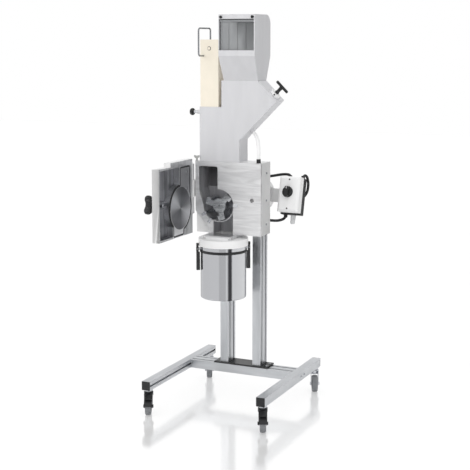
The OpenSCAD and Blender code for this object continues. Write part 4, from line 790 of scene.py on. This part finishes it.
# Socket screws: a node tree sets one head on every marked spot, turned to the spot's direction
def socketHead(name, radius, height, socket, depth, finish):
    head = lathe([(0, -1.5), (radius * 0.92, -1.5), (radius, -0.2, 0.2), (radius, height, 0.7),
        (socket * 1.25, height, 0.1)], 36, 3)
    rim = [v for v in head.verts if abs(v.co.z - height) < 1e-4 and v.co.xy.length < socket * 1.3]
    rim.sort(key=lambda v: math.atan2(v.co.y, v.co.x))
    top, low = [], []
    for vert in rim:  # the socket is a hexagon
        a = math.atan2(vert.co.y, vert.co.x)
        reach = socket * math.cos(math.pi / 6) / math.cos((a % (math.pi / 3)) - math.pi / 6)
        for ring, down in ((top, 0.15), (low, depth)):
            ring.append(head.verts.new((reach * math.cos(a), reach * math.sin(a), height - down)))
    addBand(head, rim, top)
    addBand(head, top, low)
    head.faces.new(low)
    return finishMesh(name, scaled(head), finish, 30)


def spotCloud(name, spots):  # one vertex for each spot, with its direction and turn
    mesh = bpy.data.meshes.new(name)
    mesh.from_pydata([[c * mm for c in spot] for spot, _ in spots], [], [])
    way = mesh.attributes.new("way", "FLOAT_VECTOR", "POINT")
    for i, (_, direction) in enumerate(spots):
        way.data[i].vector = direction
    return newObject(name, mesh)


def newGroup(name, inputs):  # a geometry node tree, with its sockets and the node that hands them on
    tree = bpy.data.node_groups.new(name, "GeometryNodeTree")
    for label, kind, value in inputs:
        socket = tree.interface.new_socket(label, in_out="INPUT", socket_type="NodeSocket" + kind)
        if value is not None:
            socket.default_value = value
    tree.interface.new_socket("Result", in_out="OUTPUT", socket_type="NodeSocketGeometry")
    return tree, addNode(tree, "NodeGroupInput")


def setCopies(tree, given, thing, points, rotation, **more):  # real copies of an object, in one finish
    info = addNode(tree, "GeometryNodeObjectInfo", None, {"Object": given.outputs[thing]})
    copies = addNode(tree, "GeometryNodeInstanceOnPoints", None, {
        "Points": points, "Instance": info.outputs["Geometry"], "Rotation": rotation, **more})
    real = addNode(tree, "GeometryNodeRealizeInstances", None, {0: copies.outputs[0]})
    look = addNode(tree, "GeometryNodeSetMaterial", None, {
        "Geometry": real.outputs[0], "Material": given.outputs["Finish"]})
    addNode(tree, "NodeGroupOutput", None, {0: look.outputs[0]})
    return tree


def headTree():
    tree, given = newGroup("headsOnSpots", (("Spots", "Geometry", None), ("Head", "Object", None),
        ("Finish", "Material", None), ("Size", "Float", 1.0), ("Turn Seed", "Int", 7)))
    way = addNode(tree, "GeometryNodeInputNamedAttribute", {"data_type": "FLOAT_VECTOR"}, {"Name": "way"})
    aim = addNode(tree, "FunctionNodeAlignRotationToVector", {"axis": "Z"}, {"Vector": way.outputs[0]})
    turn = addNode(tree, "FunctionNodeRandomValue", {"data_type": "FLOAT"}, {
        2: 0.0, 3: 6.283, "Seed": given.outputs["Turn Seed"]})
    spin = addNode(tree, "FunctionNodeAxisAngleToRotation", None, {
        "Axis": (0, 0, 1), "Angle": turn.outputs[1]})
    both = addNode(tree, "FunctionNodeRotateRotation", {"rotation_space": "LOCAL"}, {
        0: aim.outputs[0], 1: spin.outputs[0]})
    return setCopies(tree, given, "Head", given.outputs["Spots"], both.outputs[0],
        Scale=given.outputs["Size"])


def realised(name, source, tree, values):  # a node tree's result as a plain mesh object
    layer = source.modifiers.new("tree", "NODES")
    layer.node_group = tree
    for item in tree.interface.items_tree:
        if item.item_type == "SOCKET" and item.in_out == "INPUT" and item.name in values:
            layer[item.identifier] = values[item.name]
    bpy.context.view_layer.update()
    result = source.evaluated_get(bpy.context.evaluated_depsgraph_get())
    mesh = bpy.data.meshes.new_from_object(result)
    mesh.name = name
    source.modifiers.remove(layer)
    bpy.data.objects.remove(source)
    return newObject(name, mesh)


heads = headTree()


def headsOn(name, spots, size, look, scale=1.0):  # size: radius, height, socket and its depth
    head = socketHead("head", *size, look)
    made = realised(name, spotCloud(name + "Spots", spots), heads, {
        "Head": head, "Finish": finishes[look], "Size": scale})
    bpy.data.objects.remove(head)
    return made


screw = {"size": (4.5, 4.0, 2.1, 2.4), "plateX": 119, "railX": 282.5, "across": (81, 119), "big": 1.3}
spots = [((side * screw["plateX"], y, 150), (0, 0, 1)) for side in (-1, 1) for y in screw["across"]]
spots += [((side * screw["railX"], y, 124), (side, 0, 0)) for side in (-1, 1) for y in screw["across"]]
spots += [((137, 27, z), (1, 0, 0)) for z in (792, 895, 1012)] + [((96, 110, 915), (1, 0, 0))]
place(headsOn("cap_screws.heads", spots, screw["size"], "zinc_steel"), "cap_screws")
darkSpots = [((x, -70, 1664), (0, -1, 0)) for x in (-29, 114)]
place(headsOn("cap_screws.black", darkSpots, screw["size"], "black_plastic", screw["big"]), "cap_screws")
print("screws done:", len(spots) + len(darkSpots))


# Ribs round an axis: a node tree sets copies of one bar on a circle
def ribTree():
    tree, given = newGroup("ribsRound", (("Spots", "Geometry", None), ("Rib", "Object", None),
        ("Finish", "Material", None), ("Count", "Int", 24), ("Radius", "Float", 0.08), ("Start", "Float", 0.0)))
    ring = addNode(tree, "GeometryNodeMeshCircle", {"fill_type": "NONE"}, {
        "Vertices": given.outputs["Count"], "Radius": given.outputs["Radius"]})
    index = addNode(tree, "GeometryNodeInputIndex")
    angle = addNode(tree, "Math", {"operation": "MULTIPLY_ADD"}, {
        0: maths(tree, "DIVIDE", index.outputs[0], given.outputs["Count"]), 1: 2 * math.pi,
        2: given.outputs["Start"]})
    turned = addNode(tree, "CombineXYZ", None, {2: angle.outputs[0]})
    whole = addNode(tree, "CombineXYZ", None, {2: given.outputs["Start"]})
    spun = addNode(tree, "GeometryNodeTransform", None, {
        "Geometry": ring.outputs[0], "Rotation": whole.outputs[0]})
    return setCopies(tree, given, "Rib", spun.outputs[0], turned.outputs[0])


ribs = ribTree()


def ribRing(name, bar, width, count, radius, look, spot, start=0.0):  # round an axis along Y
    rib = finishMesh("rib", scaled(roundBox(*bar, width, 2)), look)
    source = spotCloud(name + "Spots", [((0, 0, 0), (0, 0, 1))])
    ring = realised(name, source, ribs, {"Rib": rib, "Finish": finishes[look], "Count": count,
        "Radius": radius * mm, "Start": start})
    bpy.data.objects.remove(rib)
    bm = bmesh.new()
    bm.from_mesh(ring.data)
    aimed(bm, [c * mm for c in spot], "Y")
    bm.to_mesh(ring.data)
    bm.free()
    place(ring, name.split(".")[0])


# Motor: cooling ribs, end flanges, foot, terminal box with its lid; fan cover with a grille
motor = {"x": -60, "z": 868, "fins": 226, "grille": 398.5, "blades": 380, "wires": (38.5, 51, 63.5)}
onMotor = Matrix.Translation((motor["x"], 0, motor["z"]))
shell = lathe([(17.6, 110), (88.8, 110, 1.2), (88.8, 122, 1.5), (85, 122.5), (85, 131, 2.5), (79.5, 133, 1),
    (79.5, 319, 1), (85, 321, 2.5), (85, 330, 1), (17.6, 330)], 128, 4, True)
parts = [moved(aimed(shell, (0, 0, 0), "Y"), onMotor)]
for box in (((-120, 152, 775), (0, 300, 800), 2.5), ((-105, 160, 790), (-15, 292, 822), 2),
        ((-99, 181, 930), (-21, 259, 984.5), 3), ((-100, 180, 985.5), (-20, 260, 997), 2.6),
        ((-97.5, 182.5, 980), (-22.5, 257.5, 990), 1)):  # foot, web, terminal box, its lid and seam
    parts.append(roundBox(*box))
piece("motor_body.shell", joined(parts), "white_paint")
ribRing("motor_body.fins", ((-4.5, -1.3, -94), (2.6, 1.3, 94)), 0.8, 40, 82.2, "white_paint",
    (motor["x"], motor["fins"], motor["z"]), 0.04)
cover = lathe([(86, 330, 0.3), (88, 330, 0.4), (88, 389, 1), (87, 396, 4), (80, 400, 3), (76.5, 400, 0.8),
    (76.5, 397.6, 0.8), (80, 397.4, 2), (85, 393, 3), (86, 387)], 128, 5, True)
hubDisc = lathe([(0, 400), (26, 400, 1), (27, 398.6, 0.8), (27, 397.2, 0.5), (0, 397.2)], 64)
piece("fan_cover.shell", moved(aimed(joined([cover, hubDisc]), (0, 0, 0), "Y"), onMotor), "white_paint")
ribRing("fan_cover.bars", ((-26.5, -1.6, -1.3), (26.5, 1.6, 1.3)), 0.8, 30, 51.8, "white_paint",
    (motor["x"], motor["grille"], motor["z"]))
wires = []
for radius in motor["wires"]:
    line = [(motor["x"] + x, motor["grille"] - 0.3, motor["z"] + z) for x, z in ringSection(radius, 96)]
    wires.append(sweep(line, ringSection(1.3, 10), True))
piece("fan_cover.rings", joined(wires), "white_paint")
ribRing("fan_cover.fan", ((-26, -1, -12), (26, 1, 12)), 0.6, 9, 50, "black_plastic",
    (motor["x"], motor["blades"], motor["z"]))
print("motor and fan cover done")


# Housing: painted outside, bare machined channel and chamber inside
cast = {"edge": 2.2, "left": -152, "right": -63, "back": 66.6, "under": 747.6, "top": 1056.4,
    "front": -17.6, "axis": (-60, 868), "chamber": 73, "outlet": (-84.6, 8.6)}


def insideMill(spot, normal):
    if not (cast["front"] < spot.y < cast["back"] and cast["under"] < spot.z < cast["top"]):
        return 0
    x, z = cast["axis"]
    if spot.z > z and cast["left"] < spot.x < cast["right"]:
        return 1
    near = math.hypot(spot.x - x, spot.z - z) < cast["chamber"]
    return 1 if near or (spot.z < z and cast["outlet"][0] < spot.x < cast["outlet"][1]) else 0


roundedNode("housing_body", cast["edge"], 3, finish=["white_paint", boredInside], choose=insideMill)

# Door: painted shell, milled pocket painted darker as painted shade in the recess, bright milled face
doorForm = {"edge": 1.6, "in": -172.5, "floor": -200.6, "low": 755, "high": 1042.6, "free": -349.3,
    "hinge": -56}


def doorFace(spot, normal):
    if normal.x > 0.9 and spot.x > doorForm["in"] - 0.2:
        return 2
    within = doorForm["free"] < spot.y < doorForm["hinge"] and doorForm["low"] < spot.z < doorForm["high"]
    return 1 if within and doorForm["floor"] < spot.x < doorForm["in"] else 0


doorLooks = ["white_paint", paintedShadePocket, milledFace]
roundedNode("door_shell", doorForm["edge"], 3, finish=doorLooks, choose=doorFace)


# Liner: a disc, a high panel and a tongue, all of one plate. The disc stands proud by a hair.
liner = {"y": -164, "z": 868, "radius": 99.5, "floor": -200.3, "face": -172.8, "edge": 0.6, "proud": 0.05,
    "panel": (-173.5, -71.5, 868, 1046.5), "tongue": (-234.5, -131.5, 747.3, 868),
    "screw": (5, 0.45, 2.2, 1.6), "screwY": -104, "screwZ": (1017, 944.5)}
r, thick, edge = liner["radius"], liner["face"] - liner["floor"], liner["edge"]
disc = lathe([(0, 0), (r, 0, edge), (r, thick, edge), (0, thick)], 128, 3)
plates = [aimed(disc, (liner["floor"], liner["y"], liner["z"]), "X")]
for y0, y1, z0, z1 in (liner["panel"], liner["tongue"]):
    plates.append(roundBox((liner["floor"] + liner["proud"], y0, z0), (liner["face"] - liner["proud"], y1, z1),
        edge, 2))
plate = joined(plates)
bmesh.ops.recalc_face_normals(plate, faces=plate.faces)
for face in plate.faces:
    face.material_index = 0 if abs(face.normal.x) > 0.9 else 1
piece("door_liner.plate", plate, [highlightPaintedLiner, milledFace])
spots = [((liner["face"], liner["screwY"], z), (1, 0, 0)) for z in liner["screwZ"]]
place(headsOn("door_liner.screws", spots, liner["screw"], "zinc_steel"), body=bodyOf["door_liner"])

# Seal: a round cord led round the liner
cord = {"panel": (-3, 86, 172), "tongue": (-64.5, 26.5, -114.3), "radius": 95.6, "bend": 3, "x": -174.9,
    "thick": 6, "flat": 0.45}
bend = cord["bend"]
left, right, top = cord["panel"]
line = [(right, 60), (right, top - bend), (right - bend, top), (left + bend, top), (left, top - bend),
    (left, 97)]
line += arc((0, 0), cord["radius"], 93.5, 225, 36)
left, right, low = cord["tongue"]
line += [(left, -72), (left, low + bend), (left + bend, low), (right - bend, low), (right, low + bend),
    (right, -93)]
line += arc((0, 0), cord["radius"], -72, 21, 26)
seal = sweep([(0, liner["y"] + y, liner["z"] + z) for y, z in line], ringSection(cord["thick"], 14), True)
bmesh.ops.scale(seal, vec=(cord["flat"], 1, 1), verts=seal.verts)
bmesh.ops.translate(seal, vec=(cord["x"], 0, 0), verts=seal.verts)
piece("door_seal.cord", seal, "black_rubber")

# End plate of the chute with its white boss; small black screws on it and on the switch box
capForm = {"x": 196.88, "z": 1315.05, "boss": 6.2, "edge": 0.8, "screw": (3.4, 1.6, 1.7, 1.2),
    "screwIn": 19.5, "screwUp": 42.5, "screwY": 1.8, "boxReach": 63}


def capFace(spot, normal):
    out = ((spot.x - capForm["x"]) + (spot.z - capForm["z"])) * s
    return 1 if out > capForm["boss"] else 0


roundedNode("chute_cap", capForm["edge"], 3, finish=["stainless_sheet", "white_plastic"], choose=capFace)
spots = [((capForm["x"] - capForm["screwIn"] * s, capForm["screwY"],
    capForm["z"] + capForm["screwUp"] * s), (0, -1, 0))]
tilt = math.radians(switch["tilt"])
for reach in (-capForm["boxReach"], capForm["boxReach"]):
    spots.append(((switch["spot"][0], *wallPoint(0, reach)), (0, -math.cos(tilt), math.sin(tilt))))
place(headsOn("small_screws.black", spots, capForm["screw"], "black_plastic"), body=bodyOf["chute_cap"])

# Lid with its guide and the two black hooks that the clamps reach for
lidForm = {"radius": 106.9, "hooks": 713, "edge": 1.8}


def lidFace(spot, normal):
    along = math.hypot(spot.x - vessel["x"], spot.y - vessel["y"])
    return 1 if along > lidForm["radius"] and spot.z < lidForm["hooks"] else 0


roundedNode("vessel_lid", lidForm["edge"], 4, finish=["white_plastic", "black_plastic"], choose=lidFace)

# Wing screw in the front plate's top
wing = {"x": -165, "y": -25, "low": 1045.3, "seat": 1057.3, "wings": 1067.6, "span": 12.5, "rise": 13,
    "thick": 5}
w, h = wing["span"], wing["rise"]
blades = prism([(-w, h), (-w + 0.3, 5), (-6, 0.5), (6, 0.5), (w - 0.3, 5), (w, h), (6, h - 0.6), (3, h - 2),
    (-3, h - 2), (-6, h - 0.6)], -wing["thick"] / 2, wing["thick"] / 2, 1.5, 3, 25)
moved(blades, quarter, Matrix.Translation((0, 0, wing["wings"])))
low, seat, high = wing["low"], wing["seat"], wing["wings"]
stud = lathe([(0, low), (2.6, low, 0.3), (3, low + 0.6, 0.2), (3, seat + 0.2), (4.7, seat + 0.2, 0.4),
    (4.7, seat + 3, 0.6), (3.9, seat + 5, 1), (4.4, high + 2, 1), (0, high + 4)], 40)
whole = moved(joined([blades, stud]), Matrix.Translation((wing["x"], wing["y"], 0)))
piece("wing_knob.body", whole, "gray_plastic")

# Tappet: washer and bolt at its front
block = {"bolt": (-107.75, -17.5, 1535), "size": (5.4, 3.9, 2.4, 2.4)}
washer = lathe([(3.6, 0.1), (8.4, 0.1, 0.4), (8.4, 1.3, 0.5), (7, 1.5), (3.6, 1.5)], 48, 3, True)
piece("tappet_block.washer", aimed(washer, block["bolt"], "-Y"), "black_plastic", False)
boltHead = socketHead("tappet_block.bolt", *block["size"], "zinc_steel")
boltHead.data.transform(Matrix.Translation([c * mm for c in block["bolt"]]) @ quarter)
place(boltHead, body=bodyOf["tappet_block"])
print("housing, door, lid, wing screw and tappet done")
